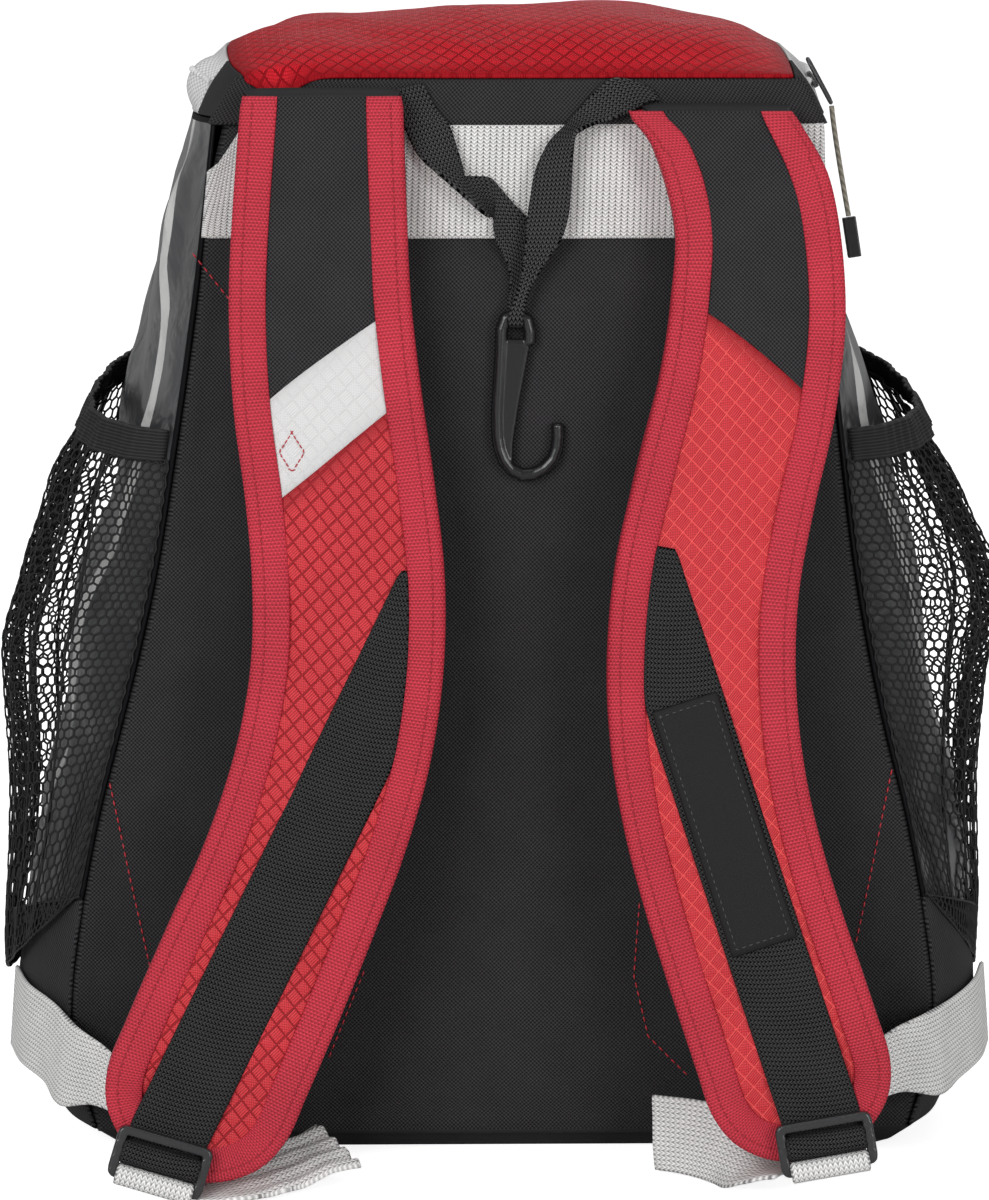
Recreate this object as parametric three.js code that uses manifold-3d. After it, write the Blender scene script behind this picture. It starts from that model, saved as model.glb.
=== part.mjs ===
// Youth baseball backpack: padded harness side with two shoulder straps, domed zip lid,
// two mesh side pockets, and a fence hook on the haul loop.
// Millimetres, +Z up. The harness faces -Y, and the flat base rests on z = 0.

import * as THREE from 'three';
import { mergeVertices } from 'three/addons/utils/BufferGeometryUtils.js';
import Module from 'manifold-3d';

const wasm = await Module();
wasm.setup();

// Clearance between sewn pieces, and thicknesses of the cloths
const GAP = 0.35;
const CLOTH = 1.6;
const WEBBING = 1.5;
const BACK_FOAM = 5;
const BACK_BULGE = 4;
const BAND_THICK = 2.2;
const ELASTIC_THICK = 1.8;
const NET_THICK = 1.2;

// Webbing widths
const WEBBING_WIDE = 38;
const WEBBING_STRAP = 25.4;
const WEBBING_LOOP = 12.7;

// Heights of the seams that run round the body
const WALL_FOOT = 8;
const WALL_TOP = 358;
const BACK_TOP = 369;
const TOP_WEBBING_LOW = 318.5;
const BAND_LOW = TOP_WEBBING_LOW + WEBBING_WIDE + GAP;
const BAND_HIGH = 371;

// Body sections: half-widths at the back seam and at mid-depth, how far the right side is drawn in there,
// back and front faces, sideways lean
const BODY = [
  { z: 0, back: 132, mid: 144, tuck: 0, yBack: -79, yFront: 78, lean: 0 },
  { z: 8, back: 142, mid: 159, tuck: 0, yBack: -86, yFront: 88, lean: 0 },
  { z: 42, back: 150, mid: 172, tuck: 0, yBack: -88, yFront: 95, lean: 0 },
  { z: 100, back: 143.5, mid: 166, tuck: 0, yBack: -90, yFront: 98, lean: 0 },
  { z: 150, back: 131.5, mid: 156, tuck: 0, yBack: -90, yFront: 98, lean: 0 },
  { z: 200, back: 120.5, mid: 145, tuck: 0, yBack: -90, yFront: 95, lean: 1 },
  { z: 254, back: 112.7, mid: 133.5, tuck: 1, yBack: -89.5, yFront: 89, lean: 2 },
  { z: 289, back: 108.5, mid: 127.5, tuck: 8.5, yBack: -89, yFront: 82, lean: 3 },
  { z: 333, back: 104.5, mid: 118, tuck: 8, yBack: -88, yFront: 71, lean: 4 },
  { z: 358, back: 103, mid: 113, tuck: 6, yBack: -87, yFront: 63, lean: 5 },
  { z: 372, back: 95, mid: 103, tuck: 4, yBack: -86, yFront: 57, lean: 5 },
];
const CORNER_POWER = 2.7;

// Shares of the wall, from the right back seam round the front: where the side panels end, where the front
// has its right corner seam, half the gap at those seams, and the gap at the back seams
const SIDE_END = 0.25;
const FRONT_SEAM = 0.38;
const SEAM = 0.0006;
const BACK_SEAM = 0.002;
// Top of the black lower sides, at the back seam and at the front seam
const GUSSET_HIGH = 90;
const GUSSET_LOW = 48;

// Rings of the base tray from its rim to the flat floor, its wall as a share of the plan, and the share of
// its outline that follows the body wall
const TRAY_RINGS = [
  { z: WALL_FOOT, scale: 1 },
  { z: 2.5, scale: 1 },
  { z: 0, scale: 0.985 },
  { z: 0, scale: 0.6 },
];
const TRAY_WALL = 0.013;
const TRAY_ROUND = 0.78;
// Inset of the padded back panel, the webbing over it and the band above that from the side seams
const BACK_INSET = 2.4;
const TOP_WEBBING_INSET = 0.4;
const BAND_INSET = 2.6;

// Lid sections from the back seam to the front: half-width, sideways lean, height of its edge and of its crest
const LID = [
  { y: -88, half: 92, lean: 5.5, edge: 373.2, crest: 373.4 },
  { y: -72, half: 94.5, lean: 3, edge: 376.7, crest: 385.5 },
  { y: -45, half: 95, lean: 1, edge: 382, crest: 394.5 },
  { y: -10, half: 93, lean: 1, edge: 383, crest: 397 },
  { y: 20, half: 85, lean: 1, edge: 381, crest: 393.5 },
  { y: 38, half: 69, lean: 1.5, edge: 377, crest: 386.5 },
  { y: 47, half: 47, lean: 2, edge: 373.5, crest: 378 },
];
const LID_ROUND = 3.8;
// Point that the lid's edge swells away from: how far aside and back, and how far below the edge
const LID_HEART = { x: 3, y: -20, below: 60 };
// Zip tape between wall and lid: swell, share of the way round over which it grows from each end, thickness,
// clearance to the lid and to the wall
const ZIP_BULGE = 3.5;
const ZIP_BULGE_SHARE = 0.16;
const TAPE_THICK = 1.2;
const LID_CLEARANCE = 1.7;
const WALL_CLEARANCE = 0.95;
const ZIP_TAB_SHARE = 0.055;
const ZIP_TAB_SEAM = 0.001;

// Mesh pockets: how far the net stands off the side panel at mid-panel
const POCKET = [
  { z: 40, standoff: 2.2 },
  { z: 72, standoff: 4.5 },
  { z: 99, standoff: 8 },
  { z: 127, standoff: 11 },
  { z: 154, standoff: 19 },
  { z: 181, standoff: 26 },
  { z: 205, standoff: 26 },
  { z: 225, standoff: 22 },
  { z: 240, standoff: 17 },
  { z: 255, standoff: 12.5 },
  { z: 275, standoff: 10 },
];
const POCKET_RIM = [
  { share: 0, z: 242 },
  { share: 0.45, z: 247 },
  { share: 1, z: 262 },
];
const POCKET_SEAM = 0.008;
const POCKET_SEAM_OFFSET = 0.5;
const RIM_HEIGHT = 10;
const NET_COLUMNS = 7;
const NET_ROWS = 8;
const NET_HOLE = 0.66;
const NET_FOOT = 1;
// Gathers below the rim: depth, count, and the heights between which they grow
const GATHER = { deep: 1.1, folds: 7, from: 120, to: 240 };

// Shoulder straps: centre line, distance of the mid-plane from the harness plane, width
const HARNESS_PLANE = -86;
const STRAP_LEFT = [
  { z: 363, x: -61, off: 13.4, width: 53 },
  { z: 338, x: -61.6, off: 18, width: 56 },
  { z: 305, x: -62, off: 25, width: 59 },
  { z: 272, x: -60, off: 31, width: 61.5 },
  { z: 239, x: -55.6, off: 37, width: 62 },
  { z: 206, x: -52.4, off: 42, width: 63 },
  { z: 173, x: -53.4, off: 46, width: 63 },
  { z: 140, x: -59.8, off: 50, width: 63 },
  { z: 107, x: -71.4, off: 54, width: 62.5 },
  { z: 74, x: -85.6, off: 58, width: 64 },
  { z: 41, x: -100, off: 62, width: 64 },
  { z: 10, x: -113, off: 65, width: 62 },
];
const STRAP_RIGHT = [
  { z: 363, x: 71.5, off: 13.4, width: 50 },
  { z: 346, x: 79, off: 16, width: 51 },
  { z: 322, x: 84.5, off: 21, width: 54 },
  { z: 289, x: 84.2, off: 28, width: 58 },
  { z: 256, x: 78.6, off: 34, width: 59 },
  { z: 223, x: 70, off: 40, width: 60 },
  { z: 190, x: 65.6, off: 44, width: 61.4 },
  { z: 156, x: 66.3, off: 48, width: 62 },
  { z: 123, x: 71.8, off: 52, width: 61.7 },
  { z: 90, x: 81.3, off: 56, width: 61.5 },
  { z: 56, x: 92.6, off: 60, width: 62 },
  { z: 15, x: 106, off: 64, width: 61 },
];
const STRAP_TIP = 25;
const STRAP_SETTLE = 40;
// Layers through a strap, measured out from its mid-plane
const PAD_BACK = -4.5;
const PAD_FRONT = 3.1;
// Share of the pad's back depth that is left along its edges
const PAD_EDGE = 0.89;
const LAYER_GAP = 0.6;
const FACE_BACK = PAD_FRONT + LAYER_GAP;
const FACE_FRONT = FACE_BACK + 0.9;
const BINDING_CLOTH = 0.9;
const BINDING_HALF = FACE_FRONT + LAYER_GAP + BINDING_CLOTH;
const BINDING_WIDTH = 11.5;
// Inset of the pad and its faces from the strap's outline
const PAD_INSET = BINDING_CLOTH + 1.2;
// Heights above the strap's tip between which the black strip climbs over the binding
// and below which it is no longer tucked under it; how far above the buckle's bar it meets the buckle
const STRIP_CLIMB = { from: 37, to: 24, free: 28 };
const STRIP_REACH = 3;
// Slanted edges of the strap faces: height at the strap's centre, rise across the strap
const FACE_SLANT = 0.6;
const UPPER_EDGE_LEFT = 279;
const NUMBER_EDGE_LEFT = 247;
const UPPER_EDGE_RIGHT = 282;
// Straight line that each black strip follows: a point on it, its sideways run per height, and its top
const STRIP_LEFT = { x: -57.7, z: 134.4, run: 0.497, top: 208 };
const STRIP_RIGHT = { x: 59.1, z: 166.8, run: -0.331, top: 214 };
const LABEL = { top: 166, bottom: 84, width: 22, thick: 0.9 };

// Ladder-lock buckle, the height of its top bar and the turn of its bars
const BUCKLE = { width: 32, slotWide: 26.6, bar: 2.6, slot: 4.8, thick: 3.6, round: 3 };
const BUCKLE_LEFT = { height: 20, turn: 17 };
const BUCKLE_RIGHT = { height: 26, turn: -10 };
// Runs of the two webbings through the buckle, from the top bar down and out from the strap's mid-plane
const STRIP_END = [
  { down: 1.8, out: 7.15 }, { down: 3.4, out: 8 }, { down: 3.8, out: 10.1 }, { down: 4.2, out: 12.3 },
  { down: 5.8, out: 13.1 }, { down: 7.4, out: 13.2 }, { down: 9, out: 12.9 }, { down: 10.1, out: 11.9 },
  { down: 10.3, out: 10.1 }, { down: 9.9, out: 8.2 }, { down: 8.6, out: 7.3 }, { down: 7.2, out: 7.2 },
];
const ANCHOR_END = [
  { down: 15.2, out: -9 }, { down: 16.2, out: -3 }, { down: 16.5, out: 3 }, { down: 16, out: 6 },
  { down: 14.6, out: 6.9 }, { down: 12.8, out: 7.4 }, { down: 12.2, out: 8.6 }, { down: 12.2, out: 10.4 },
  { down: 12.5, out: 12.3 }, { down: 13.6, out: 13.3 }, { down: 15, out: 13.5 }, { down: 16.7, out: 13.1 },
  { down: 17.7, out: 11.8 },
];
// Anchor webbing from the bag's lower corner to behind the strap: share round the wall, then free places
const ANCHOR_LIFT = 2 * GAP + WEBBING / 2;
const ANCHOR_WALL = [{ share: 0.09, z: 45 }, { share: 0.05, z: 44 }, { share: 0.014, z: 42 }];
const ANCHOR_FREE_LEFT = [
  { at: [-148, -101, 38], across: [0.1, 0, 1] },
  { at: [-140, -116, 32], across: [0.3, 0, 0.95] },
  { at: [-131, -130, 22], across: [0.75, 0, 0.65] },
];
const ANCHOR_FREE_RIGHT = [
  { at: [146, -101, 41], across: [-0.1, 0, 1] },
  { at: [135, -116, 36], across: [-0.3, 0, 0.95] },
  { at: [121, -131, 25], across: [-0.75, 0, 0.65] },
];
// Loose ends beyond the buckles: the left one lies flat, the right one stands on its edge
const TAIL_LEFT = [
  { at: [-105.5, -149, 2.6], across: [-0.09, 1, 0] },
  { at: [-98, -147.5, 2.2], across: [0.2, 0.97, 0] },
  { at: [-88, -143.5, 1.9], across: [0.45, 0.88, 0] },
  { at: [-77, -137, 2], across: [0.55, 0.85, 0.05] },
  { at: [-66, -129, 3.6], across: [0.5, 0.85, 0.12] },
  { at: [-57, -122.5, 6.5], across: [0.45, 0.85, 0.25] },
];
const TAIL_RIGHT = [
  { at: [94.6, -147, 8.5], across: [0.09, 1, 0] },
  { at: [88, -144, 9.2], across: [0.2, 0.93, 0.25] },
  { at: [81, -139, 11], across: [0.25, 0.65, 0.7] },
  { at: [74, -133.5, 13.4], across: [0.15, 0.25, 0.95] },
  { at: [66, -128, 14.3], across: [0.05, 0.05, 1] },
  { at: [58, -123, 14.6], across: [-0.05, 0, 1] },
  { at: [51, -119, 14.4], across: [-0.08, 0, 1] },
];

// Fence hook: rod line in the plane of the hook, and the web along its shaft
const HOOK_PLANE = -99.5;
const HOOK_ROD = 1.8;
const HOOK_WEB_THICK = 2;
const HOOK_EYE = { x: 4, z: 292.8 };
const HOOK_LINE = [
  { x: 8.6, z: 283 },
  { x: 8.6, z: 288.6 },
  { x: 7.2, z: 291.8 },
  { x: 4, z: 292.8 },
  { x: 0.8, z: 291.8 },
  { x: -0.6, z: 288.6 },
  { x: -0.9, z: 281 },
  { x: -1.7, z: 269 },
  { x: -2.2, z: 257 },
  { x: -1.4, z: 247.5 },
  { x: 1.7, z: 241 },
  { x: 6.6, z: 238.3 },
  { x: 12.2, z: 239.6 },
  { x: 16.6, z: 243.6 },
  { x: 18.2, z: 249 },
  { x: 18.2, z: 255.5 },
];
const HOOK_WEB = [
  { x: -0.9, z: 284 },
  { x: 8.6, z: 284 },
  { x: 7.2, z: 276 },
  { x: 4.6, z: 262 },
  { x: 2.8, z: 250 },
  { x: 2.6, z: 243 },
  { x: -1.4, z: 248 },
  { x: -2.2, z: 258 },
];

// Haul loop: left leg, round the hook's eye, right leg
const LOOP_THICK = 2;
const LOOP_BEND = HOOK_ROD + 2.5 * GAP + LOOP_THICK / 2;
const LOOP_PINCH = 3.8;
const HAUL_LOOP = [
  { x: -29, y: -94.6, z: 370, width: WEBBING_LOOP },
  { x: -26, y: -95.2, z: 359, width: WEBBING_LOOP },
  { x: -21, y: -95.5, z: 346, width: WEBBING_LOOP },
  { x: -13, y: -95.7, z: 336, width: 10 },
  { x: -4, y: -96, z: 327, width: 9 },
  { x: 0.5, y: -96.2, z: 315, width: 10 },
  { x: 3.2, y: -96.3, z: 304, width: 8 },
  { x: 4, y: HOOK_PLANE + LOOP_BEND, z: 297, width: LOOP_PINCH },
  { x: 4, y: HOOK_PLANE + LOOP_BEND, z: HOOK_EYE.z, width: LOOP_PINCH },
  { x: 4, y: HOOK_PLANE + 0.7 * LOOP_BEND, z: HOOK_EYE.z - 0.7 * LOOP_BEND, width: LOOP_PINCH },
  { x: 4, y: HOOK_PLANE, z: HOOK_EYE.z - LOOP_BEND, width: LOOP_PINCH },
  { x: 4, y: HOOK_PLANE - 0.7 * LOOP_BEND, z: HOOK_EYE.z - 0.7 * LOOP_BEND, width: LOOP_PINCH },
  { x: 4, y: HOOK_PLANE - LOOP_BEND, z: HOOK_EYE.z, width: LOOP_PINCH },
  { x: 4.2, y: HOOK_PLANE - LOOP_BEND, z: 299, width: 6 },
  { x: 6.2, y: -102.4, z: 309, width: 10 },
  { x: 10, y: -101.8, z: 321, width: WEBBING_LOOP },
  { x: 14.5, y: -100.6, z: 334, width: WEBBING_LOOP },
  { x: 18.5, y: -99, z: 346, width: WEBBING_LOOP },
  { x: 24, y: -97, z: 356.5, width: WEBBING_LOOP },
  { x: 33, y: -95, z: 365.5, width: WEBBING_LOOP },
  { x: 45, y: -93.9, z: 369.5, width: WEBBING_LOOP },
];

// Zip pull: slider on the tape, wire bail, hanging cord with a moulded end
const SLIDER = { share: 0.07, across: 0.5, long: 9, wide: 6.4, tall: 1.5 };
const BAIL = { wire: 0.8, bend: 2.8, straight: 12 };
// Upper and lower ends of the bail: share of the way up the tape, and stand-off from it
const BAIL_TOP = { across: 0.85, off: 5.4 };
const BAIL_FOOT = { across: 0, off: 5 };
const PULL_CORD_RADIUS = 0.9;
const PULL_CORD = [
  [113.75, -56.4, 361.2],
  [114.06, -56.3, 358.5],
  [114.43, -56.2, 355.8],
  [114.84, -56.1, 353.1],
  [115.27, -56, 350.3],
  [115.71, -55.9, 347.6],
  [116.17, -55.8, 344.9],
  [116.63, -55.7, 342.2],
  [117.11, -55.6, 339.5],
  [117.6, -55.5, 336.8],
  [118.1, -55.4, 334.1],
  [118.6, -55.3, 331.3],
  [119.11, -55.2, 328.6],
  [119.63, -55.1, 325.9],
  [120.15, -55, 323.2],
];
const PULL_END = { wide: 4.6, thick: 4.2, tall: 14, tilt: 9 };

const COLOURS = {
  black: 0x1b1b1d, red: 0xc4202c, bindingRed: 0xb3202f, grey: 0xb9b8b6, coated: 0x4a4b4e, white: 0xe4e3e2,
  plastic: 0x2c2d2f, steel: 0x8d8f92, cord: 0x8f8a78,
};

// Smooth reading of a table's column, at a value of the column that orders the rows
function reader(rows, order, key) {
  const at = rows.map((row) => row[order]);
  const value = rows.map((row) => row[key]);
  const rising = at[at.length - 1] > at[0];
  const slope = value.map((_, i) => {
    const before = Math.max(i - 1, 0);
    const after = Math.min(i + 1, value.length - 1);
    return (value[after] - value[before]) / (at[after] - at[before]);
  });
  return (where) => {
    let i = 0;
    while (i < at.length - 2 && (rising ? where > at[i + 1] : where < at[i + 1])) i += 1;
    const span = at[i + 1] - at[i];
    const t = Math.min(Math.max((where - at[i]) / span, 0), 1);
    const start = (1 + 2 * t) * (1 - t) ** 2 * value[i] + t * (1 - t) ** 2 * span * slope[i];
    const end = t * t * (3 - 2 * t) * value[i + 1] + t * t * (t - 1) * span * slope[i + 1];
    return start + end;
  };
}

const mix = (a, b, t) => a + (b - a) * t;
const clamp = (x, low, high) => Math.min(Math.max(x, low), high);
const ease = (t) => clamp(t, 0, 1) ** 2 * (3 - 2 * clamp(t, 0, 1));

// One closed body from points and triangles, turned so that its faces point out
function closedBody(points, triangles) {
  let volume = 0;
  for (const [a, b, c] of triangles) {
    volume += points[a].dot(new THREE.Vector3().crossVectors(points[b], points[c]));
  }
  const facing = volume > 0 ? triangles : triangles.map(([a, b, c]) => [a, c, b]);
  const geometry = new THREE.BufferGeometry();
  const numbers = points.flatMap((p) => p.toArray());
  geometry.setAttribute('position', new THREE.Float32BufferAttribute(numbers, 3));
  geometry.setIndex(facing.flat());
  geometry.computeVertexNormals();
  return geometry;
}

// Cloth with thickness: point(u, v, layer) gives its inner (0) and outer (1) faces over the unit square
function sheet(columns, rows, point) {
  const points = [];
  const triangles = [];
  const index = (i, j, layer) => (layer * (rows + 1) + j) * (columns + 1) + i;
  for (const layer of [0, 1]) {
    for (let j = 0; j <= rows; j += 1) {
      for (let i = 0; i <= columns; i += 1) points.push(point(i / columns, j / rows, layer));
    }
  }
  const quad = (a, b, c, d) => triangles.push([a, b, c], [a, c, d]);
  for (let j = 0; j < rows; j += 1) {
    for (let i = 0; i < columns; i += 1) {
      quad(index(i, j, 1), index(i + 1, j, 1), index(i + 1, j + 1, 1), index(i, j + 1, 1));
      quad(index(i, j, 0), index(i, j + 1, 0), index(i + 1, j + 1, 0), index(i + 1, j, 0));
    }
  }
  for (let i = 0; i < columns; i += 1) {
    quad(index(i, 0, 0), index(i + 1, 0, 0), index(i + 1, 0, 1), index(i, 0, 1));
    quad(index(i + 1, rows, 0), index(i, rows, 0), index(i, rows, 1), index(i + 1, rows, 1));
  }
  for (let j = 0; j < rows; j += 1) {
    quad(index(0, j + 1, 0), index(0, j, 0), index(0, j, 1), index(0, j + 1, 1));
    quad(index(columns, j, 0), index(columns, j + 1, 0), index(columns, j + 1, 1), index(columns, j, 1));
  }
  return closedBody(points, triangles);
}

// Net with thickness: as a sheet, with a diamond cut through every cell
function net(columns, rows, hole, point) {
  const points = [];
  const triangles = [];
  const place = new Map();
  const vertex = (i, j, layer) => {
    const key = `${i},${j},${layer}`;
    if (!place.has(key)) {
      place.set(key, points.length);
      points.push(point(i / columns, j / rows, layer));
    }
    return place.get(key);
  };
  const quad = (a, b, c, d) => triangles.push([a, b, c], [a, c, d]);
  const half = hole / 2;
  for (let j = 0; j < rows; j += 1) {
    for (let i = 0; i < columns; i += 1) {
      const corners = [[i, j], [i + 1, j], [i + 1, j + 1], [i, j + 1]];
      const [x, y] = [i + 0.5, j + 0.5];
      const cut = [[x, y - half], [x + half, y], [x, y + half], [x - half, y]];
      for (let k = 0; k < 4; k += 1) {
        const next = (k + 1) % 4;
        for (const layer of [0, 1]) {
          const [a, b] = [vertex(...corners[k], layer), vertex(...corners[next], layer)];
          const [c, d] = [vertex(...cut[k], layer), vertex(...cut[next], layer)];
          const faces = [[a, b, c], [b, d, c]];
          triangles.push(...(layer ? faces : faces.map(([p, q, r]) => [p, r, q])));
        }
        quad(vertex(...cut[k], 1), vertex(...cut[next], 1), vertex(...cut[next], 0), vertex(...cut[k], 0));
      }
    }
  }
  for (let i = 0; i < columns; i += 1) {
    quad(vertex(i, 0, 0), vertex(i + 1, 0, 0), vertex(i + 1, 0, 1), vertex(i, 0, 1));
    quad(vertex(i + 1, rows, 0), vertex(i, rows, 0), vertex(i, rows, 1), vertex(i + 1, rows, 1));
  }
  for (let j = 0; j < rows; j += 1) {
    quad(vertex(0, j + 1, 0), vertex(0, j, 0), vertex(0, j, 1), vertex(0, j + 1, 1));
    const far = columns;
    quad(vertex(far, j, 0), vertex(far, j + 1, 0), vertex(far, j + 1, 1), vertex(far, j, 1));
  }
  return closedBody(points, triangles);
}

// Shallow tray: rings of points that close on a centre, with an inner and an outer face
function tray(around, rings, ringPoint, centre) {
  const points = [];
  const triangles = [];
  const index = (i, j, layer) => (layer * rings + j) * around + (i % around);
  for (const layer of [0, 1]) {
    for (let j = 0; j < rings; j += 1) {
      for (let i = 0; i < around; i += 1) points.push(ringPoint(i / around, j, layer));
    }
  }
  const middle = [0, 1].map((layer) => points.push(centre(layer)) - 1);
  for (let i = 0; i < around; i += 1) {
    for (let j = 0; j < rings - 1; j += 1) {
      const [a, b, c, d] = [index(i, j, 1), index(i + 1, j, 1), index(i + 1, j + 1, 1), index(i, j + 1, 1)];
      triangles.push([a, b, c], [a, c, d]);
      const [e, f, g, h] = [index(i, j, 0), index(i + 1, j, 0), index(i + 1, j + 1, 0), index(i, j + 1, 0)];
      triangles.push([e, g, f], [e, h, g]);
    }
    triangles.push([index(i, rings - 1, 1), index(i + 1, rings - 1, 1), middle[1]]);
    triangles.push([index(i + 1, rings - 1, 0), index(i, rings - 1, 0), middle[0]]);
    triangles.push([index(i, 0, 0), index(i + 1, 0, 0), index(i + 1, 0, 1)]);
    triangles.push([index(i, 0, 0), index(i + 1, 0, 1), index(i, 0, 1)]);
  }
  return closedBody(points, triangles);
}

// Direction of travel along a list of points, at one of them
function heading(points, i) {
  const before = points[Math.max(i - 1, 0)];
  const after = points[Math.min(i + 1, points.length - 1)];
  return new THREE.Vector3().subVectors(after, before).normalize();
}

// Flat band between a left and a right edge, given row by row
function band(rows, thick) {
  const steps = rows.length - 1;
  const middles = rows.map(({ left, right }) => left.clone().lerp(right, 0.5));
  return sheet(1, steps, (u, v, layer) => {
    const i = Math.round(v * steps);
    const { left, right } = rows[i];
    const across = new THREE.Vector3().subVectors(right, left);
    const face = new THREE.Vector3().crossVectors(heading(middles, i), across).normalize();
    return left.clone().lerp(right, u).addScaledVector(face, (layer - 0.5) * thick);
  });
}

// Webbing along a list of places, each with its across direction and width, cut square to its run
function ribbon(places, thick) {
  const points = places.map(({ at }) => at);
  const rows = places.map(({ at, across, width }, i) => {
    const forward = heading(points, i);
    const square = across.clone().addScaledVector(forward, -across.dot(forward)).normalize();
    return {
      left: at.clone().addScaledVector(square, -width / 2),
      right: at.clone().addScaledVector(square, width / 2),
    };
  });
  return band(rows, thick);
}

// Solid of the joining library from a closed geometry, and back
function toSolid(geometry) {
  const bare = geometry.clone();
  bare.deleteAttribute('normal');
  bare.deleteAttribute('uv');
  const merged = mergeVertices(bare, 1e-4);
  return new wasm.Manifold(new wasm.Mesh({
    numProp: 3,
    vertProperties: new Float32Array(merged.attributes.position.array),
    triVerts: new Uint32Array(merged.index.array),
  }));
}

function fromSolid(solid) {
  const made = solid.getMesh();
  const geometry = new THREE.BufferGeometry();
  geometry.setAttribute('position', new THREE.BufferAttribute(new Float32Array(made.vertProperties), 3));
  geometry.setIndex(Array.from(made.triVerts));
  geometry.computeVertexNormals();
  return geometry;
}

const bag = new THREE.Group();

function add(name, geometry, colour, roughness = 0.85, metalness = 0) {
  const material = new THREE.MeshStandardMaterial({ color: colour, roughness, metalness });
  const mesh = new THREE.Mesh(geometry, material);
  mesh.name = name;
  bag.add(mesh);
  return mesh;
}

// Body wall

const body = {};
for (const key of ['back', 'mid', 'tuck', 'yBack', 'yFront', 'lean']) body[key] = reader(BODY, 'z', key);

const outlines = new Map();

// Plan outline at one height, from the right back seam round the front to the left back seam
function outline(z) {
  const key = z.toFixed(3);
  if (outlines.has(key)) return outlines.get(key);
  const [back, yBack, yFront] = [body.back(z), body.yBack(z), body.yFront(z)];
  // One side from its back seam to the middle of the front, at its half-width at mid-depth
  const side = (mid) => {
    const behind = -yBack / (1 - (back / mid) ** CORNER_POWER) ** (1 / CORNER_POWER);
    const start = Math.acos((back / mid) ** (CORNER_POWER / 2));
    const round = (angle, depth) => [
      mid * Math.cos(angle) ** (2 / CORNER_POWER),
      depth * Math.sin(angle) ** (2 / CORNER_POWER),
    ];
    const steps = 24;
    const half = [];
    for (let i = 0; i < steps; i += 1) half.push(round(start * (1 - i / steps), -behind));
    for (let i = 0; i < 2 * steps; i += 1) half.push(round((i / (2 * steps)) * Math.PI / 2, yFront));
    return half;
  };
  const right = side(body.mid(z) - body.tuck(z));
  const left = side(body.mid(z)).map(([x, y]) => [-x, y]).reverse();
  const path = [...right, [0, yFront], ...left].map(([x, y]) => [x + body.lean(z), y]);
  const lengths = [0];
  for (let i = 1; i < path.length; i += 1) {
    lengths.push(lengths[i - 1] + Math.hypot(path[i][0] - path[i - 1][0], path[i][1] - path[i - 1][1]));
  }
  const made = { path, lengths };
  outlines.set(key, made);
  return made;
}

// Point of the wall at a share of the way round and a height, moved out by an offset
function wall(share, z, offset = 0) {
  const { path, lengths } = outline(z);
  const want = clamp(share, 0, 1) * lengths[lengths.length - 1];
  let i = 1;
  while (i < lengths.length - 1 && lengths[i] < want) i += 1;
  const t = (want - lengths[i - 1]) / (lengths[i] - lengths[i - 1]);
  const [ax, ay] = path[i - 1];
  const [bx, by] = path[i];
  const long = Math.hypot(bx - ax, by - ay);
  return new THREE.Vector3(
    mix(ax, bx, t) + (offset * (by - ay)) / long,
    mix(ay, by, t) - (offset * (bx - ax)) / long,
    z,
  );
}

// Top edge of the black lower side at a share of the way round
const gussetTop = (share) => mix(GUSSET_HIGH, GUSSET_LOW, Math.min(share, 1 - share) / SIDE_END);

function wallPanel(columns, rows, from, to, lowAt, highAt, thick = CLOTH) {
  return sheet(columns, rows, (u, v, layer) => {
    const share = mix(from, to, u);
    return wall(share, mix(lowAt(share), highAt(share), v), (layer - 1) * thick);
  });
}

const sides = [
  { side: 'right', from: BACK_SEAM, to: SIDE_END - SEAM },
  { side: 'left', from: 1 - BACK_SEAM, to: 1 - SIDE_END + SEAM },
];
for (const { side, from, to } of sides) {
  const foot = () => WALL_FOOT + GAP;
  const seamBelow = (share) => gussetTop(share) + GAP;
  add(`side_gusset_${side}`, wallPanel(8, 3, from, to, foot, gussetTop), COLOURS.black);
  add(`side_panel_${side}`, wallPanel(8, 9, from, to, seamBelow, () => WALL_TOP), COLOURS.coated, 0.35);
}
const fronts = [
  { part: 'right', columns: 4, from: SIDE_END, to: FRONT_SEAM },
  { part: 'middle', columns: 3, from: FRONT_SEAM, to: 1 - FRONT_SEAM },
  { part: 'left', columns: 4, from: 1 - FRONT_SEAM, to: 1 - SIDE_END },
];
for (const { part, columns, from, to } of fronts) {
  const panel = wallPanel(columns, 9, from + SEAM, to - SEAM, () => WALL_FOOT + GAP, () => WALL_TOP);
  add(`front_panel_${part}`, panel, COLOURS.red, 0.6);
}

// Base

// Closed plan outline of the base: most of the way round the wall, the rest along the back seam
function basePoint(turn, z, scale, rise) {
  const p = turn < TRAY_ROUND
    ? wall(turn / TRAY_ROUND, z)
    : wall(1, z).lerp(wall(0, z), (turn - TRAY_ROUND) / (1 - TRAY_ROUND));
  return new THREE.Vector3(p.x * scale, p.y * scale, z + rise);
}

add('bottom_panel', tray(32, TRAY_RINGS.length, (turn, ring, layer) => {
  const { z, scale } = TRAY_RINGS[ring];
  const inset = layer ? 0 : TRAY_WALL;
  return basePoint(turn, z, scale - inset, layer || ring === 0 ? 0 : CLOTH);
}, (layer) => new THREE.Vector3(0, 0, layer ? 0 : CLOTH)), COLOURS.black);

// Padded back panel, top webbing and band

// Outer face of the back panel, moved out by an offset
function harness(x, z, offset = 0) {
  const across = (x - body.lean(z)) / body.back(z);
  return new THREE.Vector3(x, body.yBack(z) - BACK_BULGE * (1 - across ** 2) - offset, z);
}

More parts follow.
